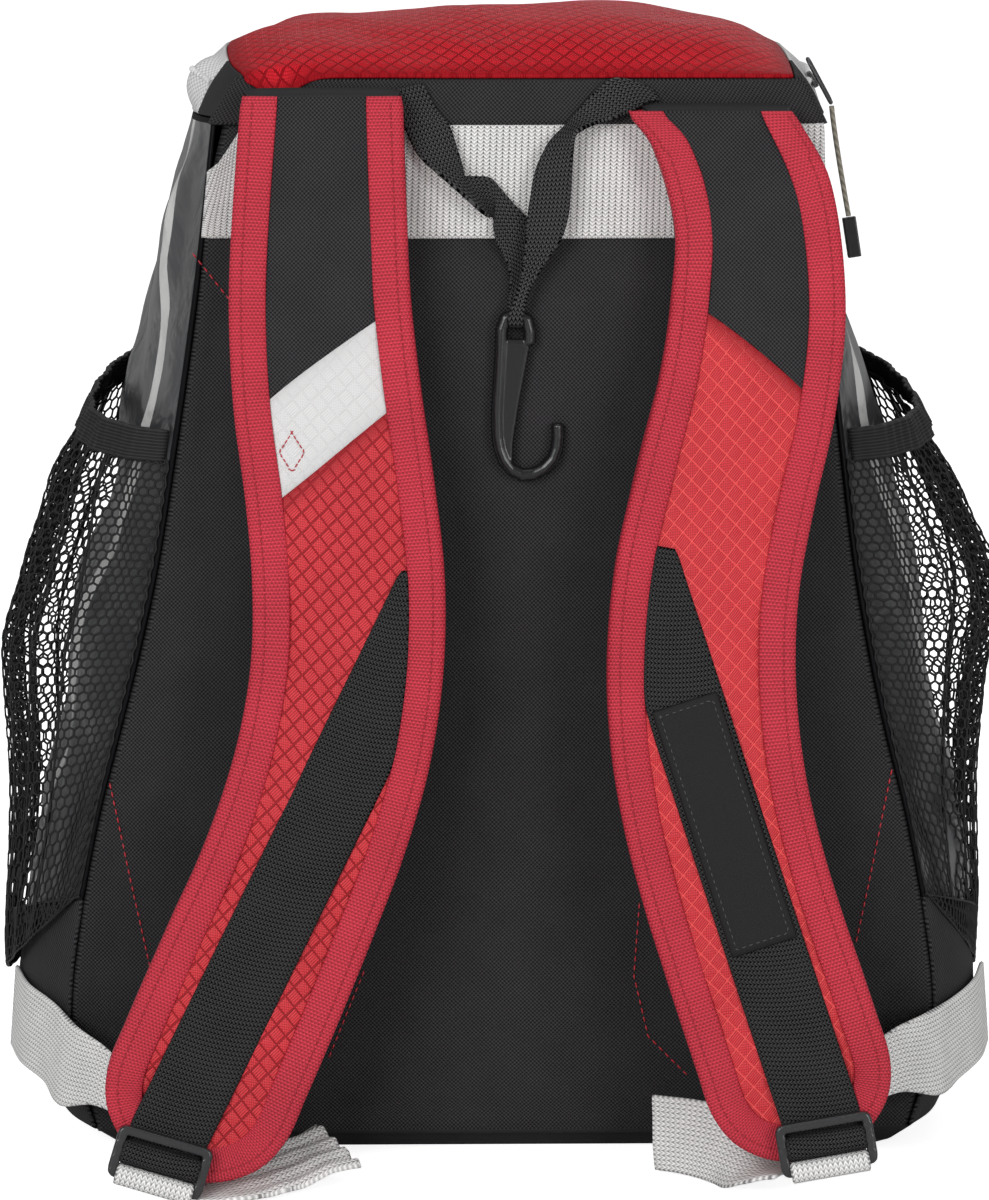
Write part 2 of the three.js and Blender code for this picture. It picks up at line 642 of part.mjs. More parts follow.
// Strip of cloth over the back panel between two heights, from seam to seam
function overBack(columns, rows, low, high, inset, offset, thick) {
  return sheet(columns, rows, (u, v, layer) => {
    const z = mix(low, high, v);
    const half = body.back(z) - inset;
    return harness(body.lean(z) + mix(-half, half, u), z, offset + (layer - 1) * thick);
  });
}

const backPanel = overBack(12, 10, WALL_FOOT + GAP, BACK_TOP, BACK_INSET, 0, BACK_FOAM);
add('back_panel', backPanel, COLOURS.black, 0.9);
const webbingTop = TOP_WEBBING_LOW + WEBBING_WIDE;
const topWebbing = overBack(12, 1, TOP_WEBBING_LOW, webbingTop, TOP_WEBBING_INSET, GAP + WEBBING, WEBBING);
add('top_webbing', topWebbing, COLOURS.grey);
const topBand = overBack(12, 1, BAND_LOW, BAND_HIGH, BAND_INSET, GAP + BAND_THICK, BAND_THICK);
add('top_band', topBand, COLOURS.black);

// Lid and the zip round it

const lid = {};
for (const key of ['half', 'lean', 'edge', 'crest']) lid[key] = reader(LID, 'y', key);
const LID_BACK = LID[0].y;
const LID_FRONT = LID[LID.length - 1].y;

function lidPoint(u, v, drop = 0) {
  const y = mix(LID_BACK, LID_FRONT, v);
  const across = 2 * u - 1;
  const rise = (lid.crest(y) - lid.edge(y)) * (1 - Math.abs(across) ** LID_ROUND);
  const bulge = BACK_BULGE * (1 - across ** 2) * (1 - v) ** 3;
  return new THREE.Vector3(lid.lean(y) + across * lid.half(y), y - bulge, lid.edge(y) + rise - drop);
}

add('lid', sheet(10, 9, (u, v, layer) => lidPoint(u, v, layer ? 0 : CLOTH)), COLOURS.red, 0.6);

// Point of the lid's edge at a share of the way from its right back corner round to the left one
function lidEdge(share) {
  const path = [];
  const steps = 24;
  for (let i = 0; i <= steps; i += 1) path.push(lidPoint(1, i / steps));
  for (let i = 1; i < steps; i += 1) path.push(lidPoint(1 - i / steps, 1));
  for (let i = 0; i <= steps; i += 1) path.push(lidPoint(0, 1 - i / steps));
  const curve = new THREE.CurvePath();
  for (let i = 1; i < path.length; i += 1) curve.add(new THREE.LineCurve3(path[i - 1], path[i]));
  return curve.getPointAt(clamp(share, 0, 1));
}

// Band between the wall's top edge (v = 0) and the lid's edge (v = 1)
function shoulder(share, v, offset = 0) {
  const below = wall(share, WALL_TOP, -CLOTH / 2);
  below.z += WALL_CLEARANCE;
  const above = lidEdge(share);
  const out = new THREE.Vector3(above.x - LID_HEART.x, above.y - LID_HEART.y, LID_HEART.below).normalize();
  const inward = new THREE.Vector3().subVectors(below, above).normalize();
  above.addScaledVector(inward, LID_CLEARANCE);
  const swell = ZIP_BULGE * ease(Math.min(share, 1 - share) / ZIP_BULGE_SHARE);
  return below.lerp(above, v).addScaledVector(out, swell * 4 * v * (1 - v) + offset);
}

function shoulderBand(columns, from, to) {
  return sheet(columns, 2, (u, v, layer) => shoulder(mix(from, to, u), v, layer * TAPE_THICK));
}

add('zipper_tape', shoulderBand(28, ZIP_TAB_SHARE, 1 - ZIP_TAB_SHARE), COLOURS.grey, 0.6);
add('zip_tab_right', shoulderBand(4, ZIP_TAB_SEAM, ZIP_TAB_SHARE - SEAM), COLOURS.black);
add('zip_tab_left', shoulderBand(4, 1 - ZIP_TAB_SEAM, 1 - ZIP_TAB_SHARE + SEAM), COLOURS.black);

// Mesh pockets and their elastic rims

const pocketStandoff = reader(POCKET, 'z', 'standoff');
const pocketRim = reader(POCKET_RIM, 'share', 'z');
// Share of the way round the wall at a share of the way across one pocket, back to front
const pocketShare = (side, u) => {
  const share = mix(POCKET_SEAM, SIDE_END - POCKET_SEAM / 2, u);
  return side === 'right' ? share : 1 - share;
};

// Point of the pocket's inner face, at a share across it and a height
function pocketPoint(side, u, z, out) {
  const belly = Math.sin(Math.PI * u) ** 0.55;
  const fold = Math.sin(Math.PI * GATHER.folds * u) ** 2;
  const gather = GATHER.deep * fold * ease((z - GATHER.from) / (GATHER.to - GATHER.from));
  const offset = POCKET_SEAM_OFFSET + (pocketStandoff(z) + gather) * belly;
  return wall(pocketShare(side, u), z, offset + out);
}

for (const side of ['left', 'right']) {
  const footAt = (u) => gussetTop(pocketShare('right', u)) + NET_FOOT;
  const netPoint = (u, v, layer) => {
    const z = mix(footAt(u), pocketRim(u) - GAP, v);
    return pocketPoint(side, u, z, layer * NET_THICK);
  };
  add(`mesh_pocket_${side}`, net(NET_COLUMNS, NET_ROWS, NET_HOLE, netPoint), COLOURS.black);
  const rimPoint = (u, v, layer) => {
    const z = pocketRim(u) + v * RIM_HEIGHT;
    return pocketPoint(side, u, z, layer * ELASTIC_THICK);
  };
  add(`pocket_elastic_${side}`, sheet(14, 1, rimPoint), COLOURS.black);
}

// Shoulder straps

const OUT = new THREE.Vector3(0, -1, 0);

// Reads one strap's table: its mid-plane frame at a height, and half its width less an inset
function strapForm(rows) {
  const [x, off, width] = ['x', 'off', 'width'].map((key) => reader(rows, 'z', key));
  const top = rows[0].z;
  const tip = rows[rows.length - 1].z;
  const centre = (z) => new THREE.Vector3(x(z), HARNESS_PLANE - off(z), z);
  const frame = (z) => {
    const step = 1;
    const along = centre(Math.max(z - step, tip)).sub(centre(Math.min(z + step, top))).normalize();
    along.x *= ease((top - z) / STRAP_SETTLE);
    along.normalize();
    const across = new THREE.Vector3().crossVectors(OUT, along).normalize();
    const normal = new THREE.Vector3().crossVectors(along, across);
    return { at: centre(z), along, across, normal };
  };
  const half = (z, inset) => {
    const whole = width(z) / 2 - inset;
    const into = (tip + STRAP_TIP - z) / (STRAP_TIP - inset);
    return into > 0 ? whole * Math.sqrt(Math.max(1 - into * into, 0)) : whole;
  };
  // Lowest height of a layer with that inset: its end is a short straight
  const low = (inset) => tip + STRAP_TIP - 0.985 * (STRAP_TIP - inset);
  const point = (z, u, n) => {
    const { at, across, normal } = frame(z);
    return at.addScaledVector(across, u).addScaledVector(normal, n);
  };
  return { top, tip, frame, half, low, point };
}

const straps = { left: strapForm(STRAP_LEFT), right: strapForm(STRAP_RIGHT) };

// Heights from a strap's top to its tip, closer together round the tip
function strapHeights(strap, inset, steps) {
  const low = strap.low(inset);
  const share = (i) => Math.sin((i / steps) * Math.PI / 2);
  return Array.from({ length: steps + 1 }, (_, i) => mix(strap.top, low, share(i)));
}

// Foam pad, thinner along its edges
function strapPad(strap) {
  const steps = 18;
  const heights = strapHeights(strap, PAD_INSET, steps);
  return sheet(3, steps, (u, v, layer) => {
    const z = heights[Math.round(v * steps)];
    const side = 2 * u - 1;
    const back = Math.abs(side) === 1 ? PAD_BACK * PAD_EDGE : PAD_BACK;
    return strap.point(z, side * strap.half(z, PAD_INSET), layer ? PAD_FRONT : back);
  });
}

// Cloth face between two heights that are slanted across the strap
function strapFace(strap, steps, highAt, lowAt) {
  return sheet(3, steps, (u, v, layer) => {
    const side = 2 * u - 1;
    const guess = strap.half(mix(highAt(0), lowAt(0), v), PAD_INSET);
    const high = Math.min(highAt(side * guess), strap.top);
    const low = Math.max(lowAt(side * guess), strap.low(PAD_INSET));
    const z = mix(high, low, Math.sin(v * Math.PI / 2));
    return strap.point(z, side * strap.half(z, PAD_INSET), layer ? FACE_FRONT : FACE_BACK);
  });
}

// Binding folded round the strap's edge, from the top down one side, round the tip and up the other
function strapBinding(strap) {
  const heights = strapHeights(strap, 0, 17);
  const edge = [
    ...heights.map((z) => [z, -strap.half(z, 0)]),
    ...heights.slice().reverse().map((z) => [z, strap.half(z, 0)]),
  ];
  const places = edge.map(([z, u]) => strap.point(z, u, 0));
  const fold = BINDING_HALF - 1.6;
  const profile = [
    { outer: [BINDING_WIDTH, BINDING_HALF], inner: [BINDING_WIDTH, BINDING_HALF - BINDING_CLOTH] },
    { outer: [1.4, BINDING_HALF], inner: [2, BINDING_HALF - BINDING_CLOTH] },
    { outer: [0, fold], inner: [BINDING_CLOTH, fold] },
    { outer: [0, -fold], inner: [BINDING_CLOTH, -fold] },
    { outer: [1.4, -BINDING_HALF], inner: [2, BINDING_CLOTH - BINDING_HALF] },
    { outer: [BINDING_WIDTH, -BINDING_HALF], inner: [BINDING_WIDTH, BINDING_CLOTH - BINDING_HALF] },
  ];
  const last = places.length - 1;
  return sheet(last, profile.length - 1, (u, v, layer) => {
    const i = Math.round(u * last);
    const { normal } = strap.frame(edge[i][0]);
    const before = places[Math.max(i - 1, 0)];
    const after = places[Math.min(i + 1, last)];
    const inward = new THREE.Vector3().subVectors(after, before).cross(normal).normalize().negate();
    const [depth, height] = profile[Math.round(v * (profile.length - 1))][layer ? 'outer' : 'inner'];
    return places[i].clone().addScaledVector(inward, depth).addScaledVector(normal, height);
  });
}

const SIDES = {
  left: { strap: straps.left, line: STRIP_LEFT, buckle: BUCKLE_LEFT, sign: -1 },
  right: { strap: straps.right, line: STRIP_RIGHT, buckle: BUCKLE_RIGHT, sign: 1 },
};

for (const [side, { strap, sign }] of Object.entries(SIDES)) {
  const edgeAt = (height, shift = 0) => (u) => height - sign * FACE_SLANT * u + shift;
  const upperEdge = side === 'left' ? UPPER_EDGE_LEFT : UPPER_EDGE_RIGHT;
  add(`strap_pad_${side}`, strapPad(strap), COLOURS.black);
  const top = () => strap.top;
  const tip = () => strap.low(PAD_INSET);
  add(`strap_face_upper_${side}`, strapFace(strap, 5, top, edgeAt(upperEdge, GAP)), COLOURS.black);
  let redEdge = upperEdge;
  if (side === 'left') {
    const white = strapFace(strap, 3, edgeAt(upperEdge), edgeAt(NUMBER_EDGE_LEFT, GAP));
    add('strap_face_number_left', white, COLOURS.white);
    redEdge = NUMBER_EDGE_LEFT;
  }
  add(`strap_face_lower_${side}`, strapFace(strap, 13, edgeAt(redEdge), tip), COLOURS.red, 0.6);
  add(`strap_binding_${side}`, strapBinding(strap), COLOURS.bindingRed);
}

// Black strips, label, buckles and the grey webbing that runs through them

// Where a strip's straight line crosses the strap at a height: its middle, and its reach to each side
function stripCrossing(strap, line, z) {
  const { at, across } = strap.frame(z);
  const lean = across.x - line.run * across.z;
  return {
    middle: (line.x + line.run * (at.z - line.z) - at.x) / lean,
    reach: ((WEBBING_STRAP / 2) * Math.hypot(line.run, 1)) / Math.abs(lean),
  };
}

// Height of a strip's mid-layer off the strap's mid-plane: it climbs over the binding near the tip
function stripLayer(strap, z) {
  const climb = ease((strap.tip + STRIP_CLIMB.from - z) / (STRIP_CLIMB.from - STRIP_CLIMB.to));
  return mix(FACE_FRONT + LAYER_GAP, BINDING_HALF + GAP, climb) + WEBBING / 2;
}

// Frame of a buckle: its top bar's middle on the strap's mid-plane, across, down and out
function buckleFrame({ strap, line, buckle }) {
  const turn = THREE.MathUtils.degToRad(buckle.turn);
  const { normal } = strap.frame(buckle.height);
  const { middle } = stripCrossing(strap, line, buckle.height);
  const across = new THREE.Vector3(Math.cos(turn), 0, -Math.sin(turn));
  across.addScaledVector(normal, -across.dot(normal)).normalize();
  const down = new THREE.Vector3().crossVectors(across, normal).normalize();
  const origin = strap.point(buckle.height, middle, 0);
  const at = ({ down: y, out: n }) => origin.clone().addScaledVector(down, y).addScaledVector(normal, n);
  return { origin, across, down, normal, at };
}

const BUCKLE_OUT = BINDING_HALF + 2 * GAP + WEBBING + BUCKLE.thick / 2;

function buckleShape() {
  const { width, slotWide, bar, slot, round } = BUCKLE;
  const pitch = bar + slot;
  const [left, right, high, low] = [-width / 2, width / 2, bar / 2, -2 * pitch - bar / 2];
  const shape = new THREE.Shape();
  shape.moveTo(left + round, low);
  shape.lineTo(right - round, low);
  shape.quadraticCurveTo(right, low, right, low + round);
  shape.lineTo(right, high - round);
  shape.quadraticCurveTo(right, high, right - round, high);
  shape.lineTo(left + round, high);
  shape.quadraticCurveTo(left, high, left, high - round);
  shape.lineTo(left, low + round);
  shape.quadraticCurveTo(left, low, left + round, low);
  for (const k of [0, 1]) {
    const [above, below] = [-k * pitch - bar / 2, -(k + 1) * pitch + bar / 2];
    const hole = new THREE.Path();
    hole.moveTo(-slotWide / 2, above);
    hole.lineTo(slotWide / 2, above);
    hole.lineTo(slotWide / 2, below);
    hole.lineTo(-slotWide / 2, below);
    hole.closePath();
    shape.holes.push(hole);
  }
  return shape;
}

// Places a mesh by its origin and its local x and y directions
function seat(mesh, origin, xDirection, yDirection) {
  const z = new THREE.Vector3().crossVectors(xDirection, yDirection).normalize();
  mesh.quaternion.setFromRotationMatrix(new THREE.Matrix4().makeBasis(xDirection, yDirection, z));
  mesh.position.copy(origin);
  return mesh;
}

const vector = ([x, y, z]) => new THREE.Vector3(x, y, z);

for (const [side, form] of Object.entries(SIDES)) {
  const { strap, line, buckle, sign } = form;
  const frame = buckleFrame(form);
  const stripRows = [];
  const steps = 16;
  for (let i = 0; i <= steps; i += 1) {
    const z = mix(line.top, buckle.height + STRIP_REACH, i / steps);
    const { middle, reach } = stripCrossing(strap, line, z);
    const free = z < strap.tip + STRIP_CLIMB.free;
    const limit = free ? Infinity : strap.half(z, BINDING_WIDTH + LAYER_GAP);
    const layer = stripLayer(strap, z);
    stripRows.push({
      left: strap.point(z, clamp(middle - reach, -limit, limit), layer),
      right: strap.point(z, clamp(middle + reach, -limit, limit), layer),
    });
  }
  for (const step of STRIP_END) {
    const at = frame.at(step);
    const half = WEBBING_STRAP / 2;
    const edge = (way) => at.clone().addScaledVector(frame.across, way * half);
    stripRows.push({ left: edge(-1), right: edge(1) });
  }
  add(`strap_webbing_${side}`, band(stripRows, WEBBING), COLOURS.black);

  const lock = new THREE.ExtrudeGeometry(buckleShape(), {
    depth: BUCKLE.thick, bevelEnabled: false, curveSegments: 3,
  });
  lock.translate(0, 0, -BUCKLE.thick / 2);
  const lockMesh = add(`buckle_${side}`, lock, COLOURS.plastic, 0.45);
  const lockOrigin = frame.origin.clone().addScaledVector(frame.normal, BUCKLE_OUT);
  seat(lockMesh, lockOrigin, frame.across, frame.down.clone().negate());

  const wallShare = (share) => (sign > 0 ? share : 1 - share);
  const anchor = [
    ...ANCHOR_WALL.map(({ share, z }) => ({
      at: wall(wallShare(share), z, ANCHOR_LIFT),
      across: new THREE.Vector3(0, 0, 1),
    })),
    ...(sign > 0 ? ANCHOR_FREE_RIGHT : ANCHOR_FREE_LEFT).map(({ at, across }) => ({
      at: vector(at),
      across: vector(across),
    })),
    ...ANCHOR_END.map((step) => ({
      at: frame.at(step),
      across: frame.across.clone().multiplyScalar(-sign),
    })),
  ].map((place) => ({ ...place, width: WEBBING_STRAP }));
  add(`anchor_webbing_${side}`, ribbon(anchor, WEBBING), COLOURS.grey);

  const tail = (sign > 0 ? TAIL_RIGHT : TAIL_LEFT).map(({ at, across }) => ({
    at: vector(at),
    across: vector(across),
    width: WEBBING_STRAP,
  }));
  add(`webbing_tail_${side}`, ribbon(tail, WEBBING), COLOURS.grey);
}

const labelRows = [0, 0.25, 0.5, 0.75, 1].map((share) => {
  const z = mix(LABEL.top, LABEL.bottom, share);
  const { middle } = stripCrossing(straps.right, STRIP_RIGHT, z);
  const out = stripLayer(straps.right, z) + WEBBING / 2 + GAP + LABEL.thick / 2;
  const { across } = straps.right.frame(z);
  return { at: straps.right.point(z, middle, out), across, width: LABEL.width };
});
add('label_patch', ribbon(labelRows, LABEL.thick), COLOURS.black);

// Haul loop and fence hook

const loopPoints = HAUL_LOOP.map(({ x, y, z }) => new THREE.Vector3(x, y, z));
let lastAcross = new THREE.Vector3(1, 0, 0);
const loopPlaces = HAUL_LOOP.map(({ width }, i) => {
  const forward = heading(loopPoints, i);
  const across = new THREE.Vector3().crossVectors(OUT, forward);
  if (across.length() < 0.5) across.set(1, 0, 0);
  if (across.dot(lastAcross) < 0) across.negate();
  lastAcross = across.clone().normalize();
  return { at: loopPoints[i], across: lastAcross, width };
});
add('haul_loop', ribbon(loopPlaces, LOOP_THICK), COLOURS.black);

function roundSection(radius, sidesCount) {
  const shape = new THREE.Shape();
  for (let i = 0; i < sidesCount; i += 1) {
    const angle = (i / sidesCount) * 2 * Math.PI;
    const [x, y] = [radius * Math.cos(angle), radius * Math.sin(angle)];
    if (i === 0) shape.moveTo(x, y);
    else shape.lineTo(x, y);
  }
  shape.closePath();
  return shape;
}

const hookPoints = HOOK_LINE.map(({ x, z }) => new THREE.Vector3(x, HOOK_PLANE, z));
const hookCurve = new THREE.CatmullRomCurve3(hookPoints);
const hookRod = new THREE.ExtrudeGeometry(roundSection(HOOK_ROD, 8), { steps: 24, extrudePath: hookCurve });
const webShape = new THREE.Shape(HOOK_WEB.map(({ x, z }) => new THREE.Vector2(x, z)));
const hookWeb = new THREE.ExtrudeGeometry(webShape, { depth: HOOK_WEB_THICK, bevelEnabled: false });
hookWeb.rotateX(Math.PI / 2);
hookWeb.translate(0, HOOK_PLANE + HOOK_WEB_THICK / 2, 0);
add('fence_hook', fromSolid(toSolid(hookRod).add(toSolid(hookWeb))), COLOURS.plastic, 0.4);

// Zip slider, bail, pull cord and its end

const { share: zipShare, across: zipAcross } = SLIDER;
const sliderAlong = shoulder(zipShare + 0.01, zipAcross).sub(shoulder(zipShare - 0.01, zipAcross));
const sliderUp = shoulder(zipShare, zipAcross + 0.1).sub(shoulder(zipShare, zipAcross - 0.1));
sliderAlong.normalize();
sliderUp.addScaledVector(sliderAlong, -sliderUp.dot(sliderAlong)).normalize();
const sliderOutline = roundSection(1, 12);
const sliderBody = new THREE.ExtrudeGeometry(sliderOutline, { depth: SLIDER.tall, bevelEnabled: false });
sliderBody.scale(SLIDER.long / 2, SLIDER.wide / 2, 1);
const sliderMesh = add('zip_slider', sliderBody, COLOURS.steel, 0.35, 1);
seat(sliderMesh, shoulder(zipShare, zipAcross, TAPE_THICK + GAP), sliderAlong, sliderUp);

const bailWire = new THREE.TorusGeometry(BAIL.bend, BAIL.wire, 6, 16);
const bailPoints = bailWire.attributes.position;
for (let i = 0; i < bailPoints.count; i += 1) {
  const y = bailPoints.getY(i);
  if (Math.abs(y) > 1e-3) bailPoints.setY(i, y + Math.sign(y) * BAIL.straight / 2);
}
const bailTop = shoulder(zipShare, BAIL_TOP.across, BAIL_TOP.off);
const bailFoot = shoulder(zipShare, BAIL_FOOT.across, BAIL_FOOT.off);
const bailUp = new THREE.Vector3().subVectors(bailTop, bailFoot).normalize();
const bailAcross = sliderAlong.clone().addScaledVector(bailUp, -sliderAlong.dot(bailUp)).normalize();
const bailMesh = add('zip_pull_bail', bailWire, COLOURS.steel, 0.3, 1);
seat(bailMesh, bailTop.lerp(bailFoot, 0.5), bailAcross, bailUp);

const pullCurve = new THREE.CatmullRomCurve3(PULL_CORD.map(vector));
const pullSection = roundSection(PULL_CORD_RADIUS, 8);
const pullCord = new THREE.ExtrudeGeometry(pullSection, { steps: 14, extrudePath: pullCurve });
add('zip_pull_cord', pullCord, COLOURS.cord);

const pullEnd = new THREE.BoxGeometry(PULL_END.wide, PULL_END.thick, PULL_END.tall);
const pullTilt = THREE.MathUtils.degToRad(PULL_END.tilt);
const pullMesh = add('zip_pull_end', pullEnd, COLOURS.plastic, 0.6);
pullMesh.rotation.y = -pullTilt;
pullMesh.position.copy(vector(PULL_CORD[PULL_CORD.length - 1]));
const pullDrop = PULL_END.tall / 2 + GAP;
pullMesh.position.x += Math.sin(pullTilt) * pullDrop;
pullMesh.position.z -= Math.cos(pullTilt) * pullDrop;

export default bag;
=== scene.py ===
import math
from functools import partial

import bmesh
import bpy
import numpy as np
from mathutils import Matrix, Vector, noise
from numpy.linalg import norm


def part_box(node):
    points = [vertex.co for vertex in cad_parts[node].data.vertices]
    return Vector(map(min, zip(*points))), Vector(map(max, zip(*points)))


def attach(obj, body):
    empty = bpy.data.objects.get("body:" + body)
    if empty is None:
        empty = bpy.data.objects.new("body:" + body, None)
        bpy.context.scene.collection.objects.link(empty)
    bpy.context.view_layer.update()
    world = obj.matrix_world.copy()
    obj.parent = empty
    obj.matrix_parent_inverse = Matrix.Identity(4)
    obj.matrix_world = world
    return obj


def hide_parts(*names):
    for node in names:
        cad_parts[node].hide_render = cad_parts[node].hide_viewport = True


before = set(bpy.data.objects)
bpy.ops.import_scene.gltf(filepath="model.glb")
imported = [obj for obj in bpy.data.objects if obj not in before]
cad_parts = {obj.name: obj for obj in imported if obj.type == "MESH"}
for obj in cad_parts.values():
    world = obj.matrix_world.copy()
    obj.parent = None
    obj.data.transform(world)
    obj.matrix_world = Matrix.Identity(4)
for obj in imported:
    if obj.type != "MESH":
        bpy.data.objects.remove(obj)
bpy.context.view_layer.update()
scene = bpy.context.scene
MM = 0.001


# Studio
# The bag stands on a plain pale floor under large soft boxes. The camera looks square at the harness side
# from a little above, at the distance of a product photograph.

EYE = Vector((-31.5, -1719.7, 423.3)) * MM
AIM = Vector((-2.96, -86, 193.63)) * MM
LENS = 144.3
FLOOR_RADIUS = 40


def stand(name, data):
    """Puts data in the scene as an object at the origin."""
    made = bpy.data.objects.new(name, data)
    scene.collection.objects.link(made)
    return made


def node(tree, kind, inputs=(), **settings):
    """Adds a node with these settings and inputs, values or other nodes' outputs. Returns its outputs."""
    made = tree.nodes.new(kind)
    for key, value in settings.items():
        setattr(made, key, value)
    for key, value in inputs.items() if isinstance(inputs, dict) else enumerate(inputs):
        if isinstance(value, bpy.types.NodeSocket):
            tree.links.new(value, made.inputs[key])
        elif value is not None:
            made.inputs[key].default_value = value
    return made.outputs


def calc(tree, operation, *values):
    """One sum on numbers that change over a surface."""
    return node(tree, "ShaderNodeMath", values, operation=operation)[0]


def finish(name, colour, roughness, **shine):
    """A material whose shader has these plain values. Returns it with its tree and its shader."""
    made = bpy.data.materials.new(name)
    made.use_nodes = True
    shader = made.node_tree.nodes["Principled BSDF"]
    shader.inputs["Base Color"].default_value = (*colour, 1)
    shader.inputs["Roughness"].default_value = roughness
    for key, value in shine.items():
        shader.inputs[key.replace("_", " ").title().replace("Ior", "IOR")].default_value = value
    return made, made.node_tree, shader


camera = stand("camera", bpy.data.cameras.new("camera"))
camera.location = EYE
camera.rotation_euler = (AIM - EYE).to_track_quat("-Z", "Y").to_euler()
camera.data.lens = LENS
camera.data.clip_end = 100
scene.camera = camera

world = bpy.data.worlds.new("studio")
world.use_nodes = True
world.node_tree.nodes["Background"].inputs["Color"].default_value = (1, 1, 1, 1)
world.node_tree.nodes["Background"].inputs["Strength"].default_value = 0.38
scene.world = world
scene.view_settings.view_transform = "Standard"

# Soft boxes: name, place, side and power; each faces the middle of the bag
SOFT_BOXES = [
    ("box_left", (-1.2, -2.4, 1.1), 1.2, 40),
    ("box_right", (1.4, -2.4, 0.7), 1.0, 24),
    ("box_top", (0.1, -0.4, 2.0), 1.2, 4),
    ("box_behind", (0.4, 1.9, 1.4), 1.4, 6),
]
for name, place, side, power in SOFT_BOXES:
    lamp = bpy.data.lights.new(name, "AREA")
    lamp.size = side
    lamp.energy = power
    box = stand(name, lamp)
    box.location = place
    box.rotation_euler = (AIM - Vector(place)).to_track_quat("-Z", "Y").to_euler()

floor_mesh = bpy.data.meshes.new("floor")
floor_form = bmesh.new()
bmesh.ops.create_circle(floor_form, cap_ends=True, segments=96, radius=FLOOR_RADIUS)
floor_form.to_mesh(floor_mesh)
floor_form.free()
floor = stand("floor", floor_mesh)
floor_paint, tree, shader = finish("floor_paint", (0.86, 0.86, 0.86), 0.9)
seen = node(tree, "ShaderNodeLightPath")["Is Camera Ray"]
tree.links.new(calc(tree, "MULTIPLY", seen, 0.8), shader.inputs["Emission Strength"])
shader.inputs["Emission Color"].default_value = (1, 1, 1, 1)
floor_mesh.materials.append(floor_paint)


# Lower sides
# Two black panels of coarse polyester cloth round the bag's lower corners, cut with a top edge that falls
# from the back seam to the front one. Their seams are turned inwards.


def lattice(name, start, ahead):
    """Rows of points over the near and far faces of a cloth solid, read off its CAD node.
    The near face holds the corner that lies furthest along start, and rows follow each other ahead from it."""
    solid = bmesh.new()
    solid.from_mesh(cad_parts[name].data)
    bmesh.ops.remove_doubles(solid, verts=solid.verts, dist=1e-6)
    solid.normal_update()
    ahead = Vector(ahead).normalized()
    first = max(solid.verts, key=lambda v: v.co.dot(Vector(start)))
    cap = {max(first.link_faces, key=lambda f: -f.normal.dot(ahead))}
    edge_of_cap = list(cap)
    while edge_of_cap:
        face = edge_of_cap.pop()
        for beside in {f for e in face.edges for f in e.link_faces} - cap:
            if beside.normal.dot(face.normal) > 0.7 and -beside.normal.dot(ahead) > 0.3:
                cap.add(beside)
                edge_of_cap.append(beside)
    border = {e for f in cap for e in f.edges if sum(g in cap for g in e.link_faces) == 1}
    used = set(cap)
    rings = []
    while border:
        near = {v: [e.other_vert(v) for e in v.link_edges if e in border] for e in border for v in e.verts}
        chain = [next(iter(near))]
        step = near[chain[0]][0]
        while step is not chain[0]:
            chain.append(step)
            step = next((v for v in near[step] if v not in chain[-2:]), chain[0])
        points = np.array([v.co for v in chain])
        turns = [np.roll(way, k, axis=0) for way in (points, points[::-1]) for k in range(len(points))]
        if rings:
            points = min(turns, key=lambda turned: (turned - rings[-1]).var(axis=0).sum())
        else:
            half = len(points) // 2
            thin = [norm(turned[:half] - turned[:half - 1:-1], axis=1).sum() for turned in turns]
            paired = [turned for turned, total in zip(turns, thin) if total < 1.01 * min(thin)]
            points = max(paired, key=lambda turned: turned[0] @ np.array(start))
        rings.append(points)
        strip = {f for v in chain for f in v.link_faces} - used
        used |= strip
        border = {e for f in strip for e in f.edges if not any(v in near for v in e.verts)}
    points = np.array(rings)
    solid.free()
    return points[:, :half], points[:, :half - 1:-1]


def finer(near, far, along, across):
    """The same two faces on smooth curves through their points, with points about these distances apart."""
    both = np.stack([near, far])
    for axis, step in ((1, along), (2, across)):
        rows = np.moveaxis(both, axis, 0)
        run = np.cumsum([0, *norm(np.diff(rows, axis=0), axis=-1).max(axis=(1, 2))])
        places = np.linspace(0, run[-1], max(2, math.ceil(run[-1] / step)) + 1)
        at = np.interp(places, run, np.arange(len(run)))
        i = np.minimum(at.astype(int), len(run) - 2)
        t = (at - i)[:, None, None, None]
        ends = np.concatenate([2 * rows[:1] - rows[1:2], rows, 2 * rows[-1:] - rows[-2:-1]])
        a, b, c, d = (ends[i + k] for k in range(4))
        rows = b + t / 2 * (c - a + t * (2 * a - 5 * b + 4 * c - d + t * (3 * (b - c) + d - a)))
        both = np.moveaxis(rows, 0, axis)
    return both


def cloth_faces(name, start, ahead, along, across=None):
    """The lattice of a cloth solid, made finer."""
    return finer(*lattice(name, start, ahead), along, across or along)


def runs(face):
    """Distances over a face from its first row and from its first column, and to its nearest border."""
    down, over = (norm(np.diff(face, axis=axis), axis=2).cumsum(axis=axis) for axis in (0, 1))
    down = np.vstack([0 * down[:1], down])
    over = np.hstack([0 * over[:, :1], over])
    border = np.minimum.reduce([down, down[-1:] - down, over, over[:, -1:] - over])
    return down, over, border


def facing(near, far):
    """Unit directions straight out of the near face."""
    out = np.cross(np.gradient(near, axis=0), np.gradient(near, axis=1))
    out /= norm(out, axis=2, keepdims=True)
    return out * np.sign(((near - far) * out).sum(axis=2).mean())


def ripple(points, size, seed):
    """Smooth noise between about -1 and 1, with waves of about that size."""
    shift = Vector((seed, 0.7 * seed, 0.3 * seed))
    values = [noise.noise(Vector(point) / size + shift) for point in points.reshape(-1, 3)]
    return 2 * np.array(values).reshape(points.shape[:-1])


